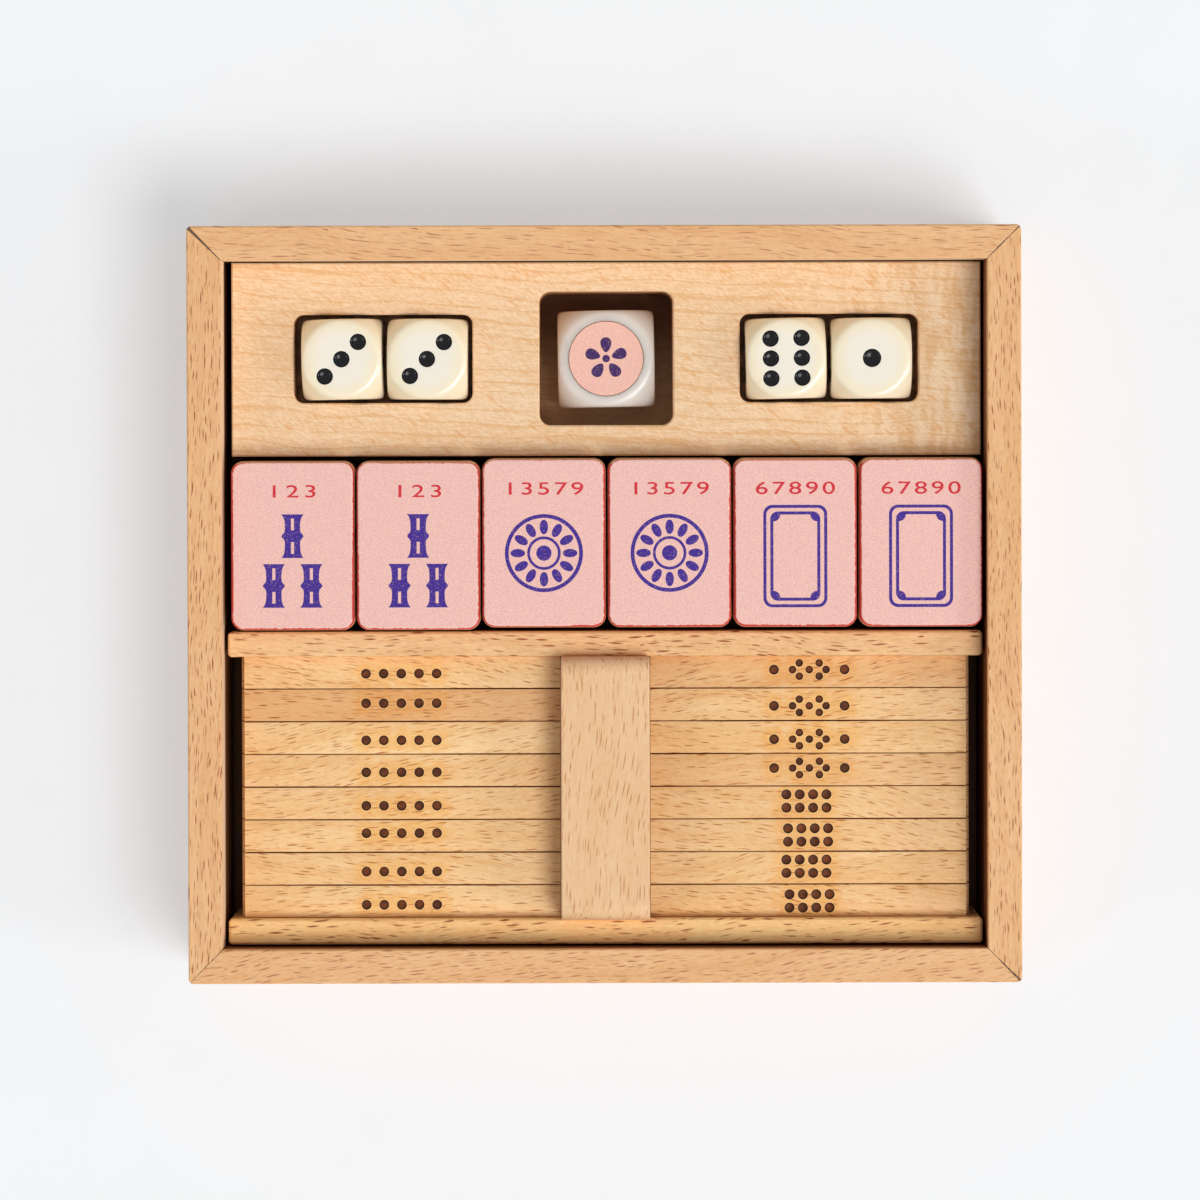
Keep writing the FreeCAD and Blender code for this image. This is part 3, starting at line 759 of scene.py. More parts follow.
def maple_material(wood):
    """Pale curly maple, with brown painted shade inside the pockets."""
    material, tree, shader = new_material("curly_maple")
    place = own_place(tree)
    millimetres = in_millimetres(tree, place)
    look = wood_look(
        tree,
        wood,
        turned(tree, place, 2.0, 0.4),
        light=wood.maple,
        dark=wood.maple_dark,
        fleck_amount=0.0,
        bands=0.1,
        lines=0.48,
        line_step=2.9,
        mottle=0.3,
        curl=fade(tree, part_of(tree, millimetres, "X"), 30.0, 72.0, 0.0, 0.4),
    )
    slanted = in_millimetres(tree, turned(tree, place, 38.0, 0.2))
    values = {"Place": slanted, "Length": 2.6, "Width": 0.6, "Amount": 0.3}
    patches = use_group(tree, groups()["flecks"], values)["Flecks"]
    patches = calculate(tree, "MULTIPLY", patches, 0.6)
    figured = mix(tree, patches, look["Color"], opaque(wood.maple_patch))
    inside = 0.0
    for low, high in pocket_boxes():
        pocket = inside_box(tree, millimetres, low / MM, high / MM, 0.12)
        inside = calculate(tree, "MAXIMUM", inside, pocket)
    # Painted shade: the pockets' walls and floors darker brown, in streaks.
    streaks = noise(tree, millimetres, (0.3, 0.3, 2.4), 3.0, 0.6)
    dark, light = (opaque(tuple(v * share for v in wood.pocket)) for share in (0.6, 1.25))
    pocket_shade = mix(tree, fade(tree, streaks, 0.35, 0.65), dark, light)
    finish_wood(tree, shader, look, mix(tree, inside, figured, pocket_shade))
    tree.links.new(fade(tree, inside, 0.0, 1.0, 0.5, 0.34), shader.inputs["Roughness"])
    return material


def divider_material(wood):
    """Pale beech, with painted shade that darkens its long sides."""
    material, tree, shader = new_material("divider_beech")
    place = own_place(tree)
    look = wood_look(
        tree,
        wood,
        turned(tree, place, -86.5, 2.8),
        light=wood.divider,
        dark=wood.divider_dark,
        fleck=wood.divider_fleck,
        fleck_length=3.6,
        fleck_width=0.25,
        fleck_amount=0.5,
    )
    low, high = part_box("rack_centre_block")
    middle, half = (low.x + high.x) / 2, (high.x - low.x) / 2
    from_middle = calculate(tree, "SUBTRACT", part_of(tree, place, "X"), middle)
    away = calculate(tree, "ABSOLUTE", from_middle)
    side = fade(tree, away, half - 0.15 * MM, half - 0.02 * MM)
    # Painted shade: the long sides darker.
    colour = mix(tree, side, look["Color"], opaque(wood.divider_side_shade), "MULTIPLY")
    finish_wood(tree, shader, look, colour)
    return material


def floor_board_material(wood):
    """The boards in the bottom of the case and of the rack, darkened by painted shade everywhere
    but under the block's front.
    """
    if "floor_board" in MATERIALS:
        return MATERIALS["floor_board"]
    material, tree, shader = new_material("floor_board")
    MATERIALS["floor_board"] = material
    place = own_place(tree)
    dark = tuple(v * 0.72 for v in wood.floor_board)
    look = wood_look(
        tree,
        wood,
        turned(tree, place, 0, 0.9),
        light=wood.floor_board,
        dark=dark,
        fleck=dark,
        fleck_amount=0.3,
    )
    low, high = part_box("dice_block")
    across = part_of(tree, place, "Y")
    # Painted shade: the board darker under the back of the block and in front of it.
    behind = fade(tree, across, low.y + 10 * MM, high.y - 8 * MM)
    board_shade = calculate(tree, "MAXIMUM", behind, fade(tree, across, low.y + 2 * MM, low.y))
    finish_wood(tree, shader, look, mix(tree, board_shade, look["Color"], opaque(wood.board_shade), "MULTIPLY"))
    tree.links.new(fade(tree, board_shade, 0.0, 1.0, 0.3, 0.45), shader.inputs["Roughness"])
    return material


def ivory_material(dice):
    """Cast ivory-coloured plastic, with painted shade that makes each die warmer towards its
    corners.
    """
    material, tree, shader = new_material("ivory_plastic")
    place = own_place(tree)
    from_middle = on_vectors(tree, "LENGTH", place)
    cloud = noise(tree, place, 160)
    reach = calculate(tree, "MULTIPLY_ADD", cloud, 0.0012, from_middle)
    # Painted shade: warmer colour towards the corners.
    corner = fade(tree, reach, 9.4 * MM, 11.6 * MM)
    colour = mix(tree, corner, opaque(dice.ivory), opaque(dice.ivory_shade))
    tree.links.new(colour, shader.inputs["Base Color"])
    polish = noise(tree, place, 420)
    tree.links.new(fade(tree, polish, 0.2, 0.8, 0.14, 0.22), shader.inputs["Roughness"])
    shader.inputs["Subsurface Weight"].default_value = 0.6
    shader.inputs["Subsurface Radius"].default_value = (1.0, 0.85, 0.7)
    shader.inputs["Subsurface Scale"].default_value = 2.5 * MM
    shader.inputs["Coat Weight"].default_value = 0.3
    shader.inputs["Coat Roughness"].default_value = 0.08
    add_bump(tree, shader, polish, 0.01 * MM, 0.3)
    return material


def pip_material(dice):
    """Glossy black paint with brush marks."""
    material, tree, shader = new_material("pip_paint")
    place = own_place(tree)
    strokes = noise(tree, place, (1800, 900, 900))
    worn = opaque(tuple(v * 1.6 for v in dice.pip))
    colour = mix(tree, fade(tree, strokes, 0.35, 0.75), opaque(dice.pip), worn)
    tree.links.new(colour, shader.inputs["Base Color"])
    tree.links.new(fade(tree, strokes, 0.3, 0.7, 0.07, 0.16), shader.inputs["Roughness"])
    shader.inputs["Specular IOR Level"].default_value = 0.2
    return material


def opal_material(dice):
    """Milky plastic of the wind cube."""
    material, tree, shader = new_material("opal_plastic")
    place = own_place(tree)
    cloud = noise(tree, place, 110, 3.0)
    share = fade(tree, cloud, 0.3, 0.7)
    colour = mix(tree, share, opaque(dice.opal), opaque(dice.opal_cloud))
    tree.links.new(colour, shader.inputs["Base Color"])
    tree.links.new(fade(tree, cloud, 0.2, 0.8, 0.2, 0.3), shader.inputs["Roughness"])
    shader.inputs["Subsurface Weight"].default_value = 1.0
    shader.inputs["Subsurface Radius"].default_value = (1.0, 0.95, 0.9)
    shader.inputs["Subsurface Scale"].default_value = 8 * MM
    return material


def grained_material(name, main, warm, cool, relief, roughness):
    """Pebbled plastic or paint that has sunk into it."""
    material, tree, shader = new_material(name)
    values = {"Place": own_place(tree), "Roughness": roughness}
    for label, colour in (("Main", main), ("Warm", warm), ("Cool", cool)):
        values[label] = opaque(colour)
    look = use_group(tree, groups()["grain"], values)
    finish(tree, shader, look, 0.4, relief, 0.8)
    return material, tree, shader, look


def tile_face_material(tiles):
    """A pink pebbled skin on red, which shows as a worn line round the edge of the face."""
    material, tree, shader, look = grained_material(
        "pink_face", tiles.pink, tiles.pink_warm, tiles.pink_cool, 0.06 * MM, 0.5
    )
    place = own_place(tree)
    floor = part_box("lower_tile_1_core")[0].z
    face_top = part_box("lower_tile_1_face")[1].z
    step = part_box("upper_tile_1_face")[1].z - face_top
    hair = 0.05 * MM
    above_floor = calculate(tree, "SUBTRACT", part_of(tree, place, "Z"), floor + hair)
    within = calculate(tree, "MODULO", above_floor, step)
    below_top = calculate(tree, "SUBTRACT", face_top - floor - hair, within)
    millimetres = in_millimetres(tree, place)
    rubbed = noise(tree, millimetres, 0.05, 1.0)
    wear = noise(tree, millimetres, 1.1, 3.0, 0.7)
    wear = calculate(tree, "MULTIPLY_ADD", rubbed, 1.2, calculate(tree, "SUBTRACT", wear, 0.6))
    skin = fade(tree, wear, 0.3, 0.7, 0.2 * tiles.skin, 1.5 * tiles.skin)
    red = calculate(tree, "GREATER_THAN", below_top, skin)
    colour = mix(tree, red, look["Color"], opaque(tiles.under_layer))
    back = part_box("upper_tile_1_face")[1].y
    at_back = calculate(tree, "GREATER_THAN", part_of(tree, place, "Y"), back - tiles.edge)
    pale_wood = calculate(tree, "GREATER_THAN", below_top, calculate(tree, "ADD", skin, 0.07 * MM))
    pale_wood = calculate(tree, "MULTIPLY", pale_wood, at_back)
    colour = mix(tree, pale_wood, colour, opaque(tiles.core))
    tree.links.new(colour, shader.inputs["Base Color"])
    return material


def paint_material(name, colour, tiles):
    """Matt paint on a pebbled face."""
    material, tree, shader = new_material(name)
    values = {"Paint": opaque(colour), "Under": opaque(tiles.under_paint)}
    look = use_group(tree, groups()["paint"], {"Place": own_place(tree), **values})
    finish(tree, shader, look, 0.2, 0.03 * MM, 0.6)
    return material


def stick_material(name, sticks, wood, dots_group):
    """Stick wood with burnt dots. The mesh says where grain and dots are, and how dark it is."""
    material, tree, shader = new_material(name)
    grain, mark, shade = (
        add_node(tree, "ShaderNodeAttribute", attribute_name=attribute).outputs[output]
        for attribute, output in (("grain", "Vector"), ("mark", "Vector"), ("shade", "Fac"))
    )
    look = wood_look(
        tree,
        wood,
        grain,
        light=sticks.wood,
        dark=sticks.wood_dark,
        fleck=sticks.fleck,
        fleck_length=3.0,
        fleck_width=0.22,
        fleck_amount=0.5,
        bands=0.35,
        lines=0.15,
        mottle=0.18,
    )
    colour = mix(tree, shade, look["Color"], opaque(sticks.dark_stick), "MULTIPLY")
    distance = use_group(tree, dots_group, {"Place": mark})["Distance"]
    values = {"Wood": colour, "Grain": grain, "Distance": distance}
    colour = use_group(tree, groups()["burnt"], values)["Color"]
    values = {"Wood": colour, "Place": own_place(tree), "Above": part_of(tree, mark, "Z")}
    finish_wood(tree, shader, look, use_group(tree, groups()["sawn"], values)["Color"])
    return material


# Meshes


def smooth(mesh):
    """Smooth shading, except along sharp edges."""
    mesh.shade_smooth()
    mesh.set_sharp_from_angle(angle=math.radians(35))


def finish_mesh(bm, name, *materials):
    """Turns the work mesh into an object, smooth except along its sharp edges."""
    bmesh.ops.recalc_face_normals(bm, faces=bm.faces)
    mesh = bpy.data.meshes.new(name)
    bm.to_mesh(mesh)
    bm.free()
    return object_of(mesh, name, *materials)


def object_of(mesh, name, *materials):
    for material in materials:
        mesh.materials.append(material)
    smooth(mesh)
    obj = bpy.data.objects.new(name, mesh)
    bpy.context.scene.collection.objects.link(obj)
    return obj


def soften(obj, width):
    """Rounds the sawn edges of a solid a little."""
    weld = obj.modifiers.new("Weld", "WELD")
    weld.merge_threshold = 0.002 * MM
    bevel = obj.modifiers.new("Edges", "BEVEL")
    bevel.width = width
    bevel.segments = 2
    bevel.limit_method = "ANGLE"
    bevel.angle_limit = math.radians(40)
    bevel.harden_normals = True


def dress(node, material, edge=None):
    """Gives a solid its material, and softer edges."""
    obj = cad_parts[node]
    obj.data.materials.clear()
    obj.data.materials.append(material)
    if edge:
        soften(obj, edge)


def bridge(bm, first, second):
    """Faces between two closed rings of as many vertices."""
    for index in range(len(first)):
        following = (index + 1) % len(first)
        bm.faces.new((first[index], first[following], second[following], second[index]))


def add_ring(bm, points):
    return [bm.verts.new(point) for point in points]


def add_layers(bm, outlines):
    """A skin round outlines that lie one above the other, open at the top. Gives its top ring."""
    rings = [add_ring(bm, outline) for outline in outlines]
    for lower, upper in zip(rings, rings[1:]):
        bridge(bm, lower, upper)
    bm.faces.new(rings[0])
    return rings[-1]


def circle_points(x, y, z, radius, count):
    angles = [2 * math.pi * step / count for step in range(count)]
    return [(x + radius * math.cos(a), y + radius * math.sin(a), z) for a in angles]


def closed_edges(bm, ring):
    return [bm.edges.new((vert, ring[(index + 1) % len(ring)])) for index, vert in enumerate(ring)]


def make_plate(name, low, high, tiles, material):
    """The face plate of a tile, whose upper edge is rounded."""
    size, middle = high - low, (low + high) / 2
    steps = 5
    levels = [(0.0, low.z)]
    for step in range(steps + 1):
        turn = math.radians(90) * step / steps
        inset, drop = tiles.edge * (1 - math.cos(turn)), tiles.edge * (1 - math.sin(turn))
        levels.append((inset, high.z - drop))
    levels.append((tiles.edge + 0.05 * MM, high.z))
    outlines = []
    for inset, z in levels:
        width, length = size.x - 2 * inset, size.y - 2 * inset
        outline = rounded_rectangle(width, length, tiles.corner - inset)
        outlines.append([(middle.x + x, middle.y + y, z) for x, y in outline])
    bm = bmesh.new()
    bm.faces.new(add_layers(bm, outlines))
    return finish_mesh(bm, name, material)


def add_stick(bm, low, high, dots, shift, sticks):
    """A stick with eased edges. Its sunk dots lie round a point shifted from the middle."""
    edge = sticks.edge
    bends = [(edge, 0.0), (edge * 0.3, edge * 0.3), (0.0, edge)]
    levels = [(inset, low.z + up) for inset, up in bends]
    levels += [(inset, high.z - up) for inset, up in reversed(bends)]
    outlines = []
    for inset, z in levels:
        left, right = low.x + inset, high.x - inset
        front, back = low.y + inset, high.y - inset
        outlines.append([(left, front, z), (right, front, z), (right, back, z), (left, back, z)])
    ring = add_layers(bm, outlines)
    top_edges = [bm.edges.get((vert, ring[(index + 1) % 4])) for index, vert in enumerate(ring)]
    middle, top = (low + high) / 2 + shift, high.z
    for x, y, radius in dots:
        profile = [
            (radius + 0.04 * MM, top),
            (radius, top - 0.05 * MM),
            (radius * 0.97, top - sticks.dot_depth * 0.8),
            (radius * 0.85, top - sticks.dot_depth),
        ]
        walls = [
            add_ring(bm, circle_points(middle.x + x, middle.y + y, z, r, 20)) for r, z in profile
        ]
        top_edges += closed_edges(bm, walls[0])
        for upper, lower in zip(walls, walls[1:]):
            bridge(bm, upper, lower)
        bm.faces.new(walls[-1])
    bmesh.ops.triangle_fill(bm, edges=top_edges, use_beauty=True)


def set_places(mesh, start, middle, offset, lean, shade):
    """Says for the stick whose vertices come from start on where its grain and its dots are."""
    turn = Matrix.Rotation(lean, 3, "Z")
    grain, mark = mesh.attributes["grain"], mesh.attributes["mark"]
    for index in range(start, len(mesh.vertices)):
        from_middle = mesh.vertices[index].co - middle
        mark.data[index].vector = from_middle
        grain.data[index].vector = turn @ from_middle + offset
        mesh.attributes["shade"].data[index].value = shade


def ball_cut_mesh(edge, face_radius):
    """A cube cut by a ball that leaves a round flat on each face, with the new edges worn round."""
    cells, sharpness = 52, 52
    ball = math.hypot(edge / 2, face_radius)
    bm = bmesh.new()
    bmesh.ops.create_cube(bm, size=edge)
    bmesh.ops.subdivide_edges(bm, edges=bm.edges, cuts=cells - 1, use_grid_fill=True)
    for vert in bm.verts:
        reach = vert.co.length
        vert.co *= (1 + (reach / ball) ** sharpness) ** (-1 / sharpness)
    return bm


PIP_PATTERNS = {
    1: [(0, 0)],
    2: [(-1, -1), (1, 1)],
    3: [(-1, -1), (0, 0), (1, 1)],
    4: [(-1, -1), (-1, 1), (1, -1), (1, 1)],
    5: [(-1, -1), (-1, 1), (0, 0), (1, -1), (1, 1)],
    6: [(-1, -1), (-1, 0), (-1, 1), (1, -1), (1, 0), (1, 1)],
}


def pip_places(count, dice):
    """Where the pips of a face lie from its middle."""
    if count == 6:
        return [(x * dice.pip_columns, y * dice.pip_pitch) for x, y in PIP_PATTERNS[6]]
    step = dice.pip_diagonal
    return [(x * step, y * step) for x, y in PIP_PATTERNS[count]]


def face_turns(top):
    """The number on each face of a die that shows top, with the turn that brings it there."""
    side, front = {1: (2, 3), 3: (1, 2), 6: (2, 4)}[top]
    return (
        (top, Matrix.Identity(3)),
        (7 - top, Matrix.Rotation(math.pi, 3, "X")),
        (side, Matrix.Rotation(math.pi / 2, 3, "Y")),
        (7 - side, Matrix.Rotation(-math.pi / 2, 3, "Y")),
        (front, Matrix.Rotation(math.pi / 2, 3, "X")),
        (7 - front, Matrix.Rotation(-math.pi / 2, 3, "X")),
    )


# How much larger the pip of a face with one pip is.
LONE_PIP = 1.12


def pip_cutter(top, edge, dice):
    """The cups of all the pips of a die, as one mesh."""
    bm = bmesh.new()
    above = 0.12 * MM
    depth = dice.pip_depth + above
    for count, turn in face_turns(top):
        radius = dice.pip_diameter / 2
        if count == 1:
            radius *= LONE_PIP
        for x, y in pip_places(count, dice):
            squash = Matrix.Diagonal((radius, radius, depth, 1))
            place = Matrix.Translation((x, y, edge / 2 + above))
            made = bmesh.ops.create_uvsphere(bm, u_segments=32, v_segments=16, radius=1)
            bmesh.ops.transform(bm, matrix=turn.to_4x4() @ place @ squash, verts=made["verts"])
    return bm


def baked_mesh(obj):
    """The mesh of an object as it shows, with its modifiers."""
    return bpy.data.meshes.new_from_object(
        obj.evaluated_get(bpy.context.evaluated_depsgraph_get())
    )


def cut_out(obj, cutter):
    """Takes the cutter's shape out of the object and deletes the cutter."""
    modifier = obj.modifiers.new("Cut", "BOOLEAN")
    modifier.operation = "DIFFERENCE"
    modifier.solver = "EXACT"
    modifier.object = cutter
    mesh = baked_mesh(obj)
    obj.modifiers.clear()
    obj.data = mesh
    bpy.data.objects.remove(cutter)
    smooth(mesh)


def middle_of(node):
    low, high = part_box(node)
    return (low + high) / 2


# Painted marks


def add_loop(curve, points):
    """A closed straight-sided outline."""
    spline = curve.splines.new("POLY")
    spline.points.add(len(points) - 1)
    for point, (x, y) in zip(spline.points, points):
        point.co = (x, y, 0, 1)
    spline.use_cyclic_u = True


def arc(x, y, radius, start, end, steps=8):
    """Points along an arc, with its angles in degrees."""
    angles = [math.radians(start + (end - start) * step / steps) for step in range(steps + 1)]
    return [(x + radius * math.cos(a), y + radius * math.sin(a)) for a in angles]


def disc(radius, steps=32):
    return arc(0, 0, radius, 0, 360 - 360 / steps, steps - 1)


CORNERS = ((1, 1), (-1, 1), (-1, -1), (1, -1))


def rounded_rectangle(width, height, radius):
    half_width, half_height = width / 2 - radius, height / 2 - radius
    points = []
    for corner, (side, end) in enumerate(CORNERS):
        start = 90 * corner
        points += arc(side * half_width, end * half_height, radius, start, start + 90)
    return points


def eared_rectangle(width, height, ear):
    """A rectangle whose corners are bitten out by quarter discs."""
    points = []
    for corner, (side, end) in enumerate(CORNERS):
        start = 90 * corner + 270
        points += arc(side * width / 2, end * height / 2, ear, start, start - 90)
    return points


def frame_figure():
    """The double frame of a blank tile, with ears in the inner corners."""
    width, height, inner_width, inner_height = (v * MM for v in (12.6, 20.2, 9.85, 17.6))
    lines = 2 * 0.6 * MM
    return [
        rounded_rectangle(width, height, 1.8 * MM),
        rounded_rectangle(width - lines, height - lines, 1.3 * MM),
        rounded_rectangle(inner_width, inner_height, 1.5 * MM),
        eared_rectangle(inner_width - lines, inner_height - lines, 1.35 * MM),
    ]


def cane(x, y, width, height):
    """A bamboo cane that swells at its ends and in the middle, with a bare line down each half."""
    steps = 24
    right = []
    for step in range(steps + 1):
        along = 2 * step / steps - 1
        swell = max(abs(along) ** 6, math.exp(-((along / 0.13) ** 2)))
        right.append((x + width * (0.34 + 0.16 * swell), y + height / 2 * along))
    left = [(2 * x - px, py) for px, py in reversed(right)]
    loops = [right + left]
    slit, reach = 0.07 * width, 0.27 * height
    for end in (-1, 1):
        middle = y + end * height * 0.27
        low, high = middle - reach / 2, middle + reach / 2
        loops.append([(x - slit, low), (x + slit, low), (x + slit, high), (x - slit, high)])
    return loops


def bamboo_figure():
    """Three canes, one over two."""
    loops = []
    for x, y in ((0.0, 4.9), (-3.7, -4.9), (3.7, -4.9)):
        loops += cane(x * MM, y * MM, 4.4 * MM, 8.6 * MM)
    return loops


def petals(count, first, steps, outline):
    """Loops round the origin. Outline gives a point beside the X axis for each turn of a petal."""
    loops = []
    for petal in range(count):
        around = Matrix.Rotation(first + 2 * math.pi * petal / count, 2)
        turns = [2 * math.pi * step / steps for step in range(steps)]
        loops.append([tuple(around @ Vector(outline(turn))) for turn in turns])
    return loops


def wheel_figure():
    """A round with rings, petals and a hub."""
    reach, half = 5.15 * MM, 1.15 * MM

    def petal(turn):
        return reach + half * 1.25 * math.cos(turn), half * 0.72 * math.sin(turn)

    rings = [disc(r * MM, 64) for r in (7.7, 6.95, 3.3, 2.75)]
    return [*rings, disc(1.5 * MM), *petals(12, 0.0, 24, petal)]


def blossom_figure():
    """A five-petalled blossom."""

    def petal(turn):
        along = 2.75 + 1.5 * math.cos(turn)
        return along * MM, (1.05 + 0.35 * math.cos(turn)) * math.sin(turn) * MM

    return [disc(0.75 * MM), *petals(5, math.pi / 2, 28, petal)]


def painted(name, loops, place, thickness, material, turn=0.0):
    """A flat painted figure, with its back on the place given."""
    curve = bpy.data.curves.new(name, "CURVE")
    curve.dimensions = "2D"
    curve.fill_mode = "BOTH"
    curve.extrude = thickness / 2
    for loop in loops:
        add_loop(curve, loop)
    return mesh_of_curve(curve, name, place, thickness, material, turn)


def mesh_of_curve(curve, name, place, thickness, material, turn=0.0, widen=1.0):
    """Makes the filled curve into a mesh that lies at a place."""
    drawn = bpy.data.objects.new(name, curve)
    bpy.context.scene.collection.objects.link(drawn)
    bpy.context.view_layer.update()
    mesh = baked_mesh(drawn)
    bpy.data.objects.remove(drawn)
    lift = Matrix.Translation(place + Vector((0, 0, thickness / 2)))
    mesh.transform(lift @ Matrix.Rotation(turn, 4, "Z") @ Matrix.Diagonal((widen, 1, 1, 1)))
    mesh.materials.clear()
    return object_of(mesh, name, material)


def numbered(name, text, place, height, thickness, material):
    """Plain figures in a row, set wider apart when they are few."""
    curve = bpy.data.curves.new(name, "FONT")
    curve.body = text
    curve.size = height / 0.7
    curve.space_character = 1.32 if len(text) < 4 else 1.22
    curve.offset = 0.015 * MM
    curve.align_x = "CENTER"
    curve.align_y = "CENTER"
    curve.extrude = thickness / 2
    return mesh_of_curve(curve, name, place, thickness, material, widen=1.55)


# Pieces


def pocket_boxes():
    """The insides of the block's three pockets, a hair larger than the pockets."""
    low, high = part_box("dice_block")
    cube = middle_of("wind_cube")
    hair, under_top = 0.1 * MM, high.z - 0.55 * MM
    dice_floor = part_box("die_1")[0].z
    pockets = [
        ((low.x + high.x) / 2 + side * DICE_POCKET_X * MM, dice_floor, DICE_POCKET_HALF)
        for side in (-1, 1)
    ]
    pockets.append((cube.x, low.z, CUBE_POCKET_HALF))
    boxes = []
    for x, floor, (half_length, half_width) in pockets:
        half = Vector((half_length * MM + hair, half_width * MM + hair, 0))
        bottom, top = Vector((x, cube.y, floor - hair)), Vector((x, cube.y, under_top))
        boxes.append((bottom - half, top + half))
    return boxes


# For each member: the direction of its grain in degrees, the usual length and width of its rays in
# millimetres, how many of them there are, how much of their colour they have, and how far down
# in millimetres its inside is painted paler, as painted light, before the painted shade below
# starts. With 0 no light is painted.
BOARDS = {
    "frame_front": (7.0, 3.0, 0.25, 0.7, 0.75, 0.0),
    "frame_back": (-5.0, 4.2, 0.25, 0.6, 0.68, 7.0),
    "frame_left": (88.0, 3.1, 0.23, 0.58, 0.95, 7.0),
    "frame_right": (91.0, 2.7, 0.22, 0.62, 0.9, 0.0),
}


class CASE_OT_frame(bpy.types.Operator):
    """Finish the mitred beech frame and the floor board of the case"""

    bl_idname = "mahjong_case.frame"
    bl_label = "Case Frame"

    def execute(self, context):
        wood = context.scene.case_wood
        for number, (node, board) in enumerate(BOARDS.items(), start=1):
            dress(node, frame_material(node, wood, 0.3 * number, board), wood.edge)
        dress("case_floor", floor_board_material(wood))
        return {"FINISHED"}


class CASE_OT_dice_block(bpy.types.Operator):
    """Finish the maple block that holds the dice"""

    bl_idname = "mahjong_case.dice_block"
    bl_label = "Dice Block"

    def execute(self, context):
        wood = context.scene.case_wood
        dress("dice_block", maple_material(wood), wood.edge)
        return {"FINISHED"}


# For each die: the number that shows on top, and how far it is turned in its pocket in degrees.
DICE = {"die_1": (3, 1.0), "die_2": (3, -0.3), "die_3": (6, 1.2), "die_4": (1, 0.2)}
CUBE_DEGREES = 0.8


class CASE_OT_dice(bpy.types.Operator):
    """Make the four dice with rounded faces and sunk pips"""

    bl_idname = "mahjong_case.dice"
    bl_label = "Dice"

    def execute(self, context):
        dice = context.scene.case_dice
        ivory, paint = ivory_material(dice), pip_material(dice)
        for node, (top, degrees) in DICE.items():
            low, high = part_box(node)
            edge = high.z - low.z
            cube = ball_cut_mesh(edge, dice.face_radius)
            body = finish_mesh(cube, f"{node}_body", ivory, paint)
            cutter = finish_mesh(pip_cutter(top, edge, dice), "pips", ivory, paint)
            cutter.data.polygons.foreach_set("material_index", [1] * len(cutter.data.polygons))
            cut_out(body, cutter)
            body.location = (low + high) / 2
            body.rotation_euler.z = math.radians(degrees)
            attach(body, node)
            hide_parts(node)
        return {"FINISHED"}


class CASE_OT_wind_cube(bpy.types.Operator):
    """Make the opal wind cube with a disc on its top"""

    bl_idname = "mahjong_case.wind_cube"
    bl_label = "Wind Cube"

    def execute(self, context):
        dice, tiles = context.scene.case_dice, context.scene.case_tiles
        low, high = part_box("wind_cube")
        middle, turn = (low + high) / 2, math.radians(CUBE_DEGREES)
        body = ball_cut_mesh(high.z - low.z, dice.cube_face_radius)
        cube = finish_mesh(body, "wind_cube_body", opal_material(dice))
        cube.location = middle
        cube.rotation_euler.z = turn
        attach(cube, "wind_cube")
        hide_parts("wind_cube")
        plate, *_ = grained_material(
            "disc_face", dice.disc, dice.disc_warm, dice.disc_cool, 0.03 * MM, 0.5
        )
        line = paint_material("disc_line", dice.disc_rim, tiles)
        ink = paint_material("disc_ink", dice.disc_mark, tiles)
        radius = dice.disc_diameter / 2
        marks = (
            ("rim", [disc(radius, 96)], 0.0, tiles.paint, line),
            ("disc", [disc(radius - dice.disc_line, 96)], 0.0, dice.disc_height, plate),
            ("figure", blossom_figure(), dice.disc_height, tiles.paint, ink),
        )
        for name, loops, rise, depth, material in marks:
            place = Vector((middle.x, middle.y, high.z + rise))
            piece = painted(f"wind_cube_{name}", loops, place, depth, material, turn)
            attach(piece, "wind_cube")
        return {"FINISHED"}


# For each pair of columns of tiles: the figure, how far it lies in front of the middle of the
# face in millimetres, and the number. The numbers lie behind the middle.
MARKS = (
    (bamboo_figure, 3.0, "123"),
    (wheel_figure, 2.0, "13579"),
    (frame_figure, 2.7, "67890"),
)
NUMBER_RISE = 10.6


class CASE_OT_tiles(bpy.types.Operator):
    """Finish the tiles and paint their figures and numbers"""

    bl_idname = "mahjong_case.tiles"
    bl_label = "Tiles"

    def execute(self, context):
        tiles, wood = context.scene.case_tiles, context.scene.case_wood
        face = tile_face_material(tiles)
        purple = paint_material("figure_paint", tiles.figure, tiles)
        red = paint_material("number_paint", tiles.number, tiles)
        core = beech_material("tile_core", wood, 90, 1.3, light=tiles.core, fleck_amount=0.25)
        for column in range(TILE_COLUMNS):
            make_loops, drop, digits = MARKS[column // 2]
            for layer in ("lower", "upper"):
                name = f"{layer}_tile_{column + 1}"
                dress(f"{name}_core", core, tiles.core_edge)
                low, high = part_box(f"{name}_face")
                plate = make_plate(f"{name}_plate", low, high, tiles, face)
                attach(plate, name)
                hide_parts(f"{name}_face")
                x, y = (low.x + high.x) / 2, (low.y + high.y) / 2
                place = Vector((x, y - drop * MM, high.z))
                figure = painted(f"{name}_figure", make_loops(), place, tiles.paint, purple)
                place = Vector((x, y + NUMBER_RISE * MM, high.z))
                height = tiles.number_height
                number = numbered(f"{name}_number", digits, place, height, tiles.paint, red)
                for piece in (figure, number):
                    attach(piece, name)
        return {"FINISHED"}


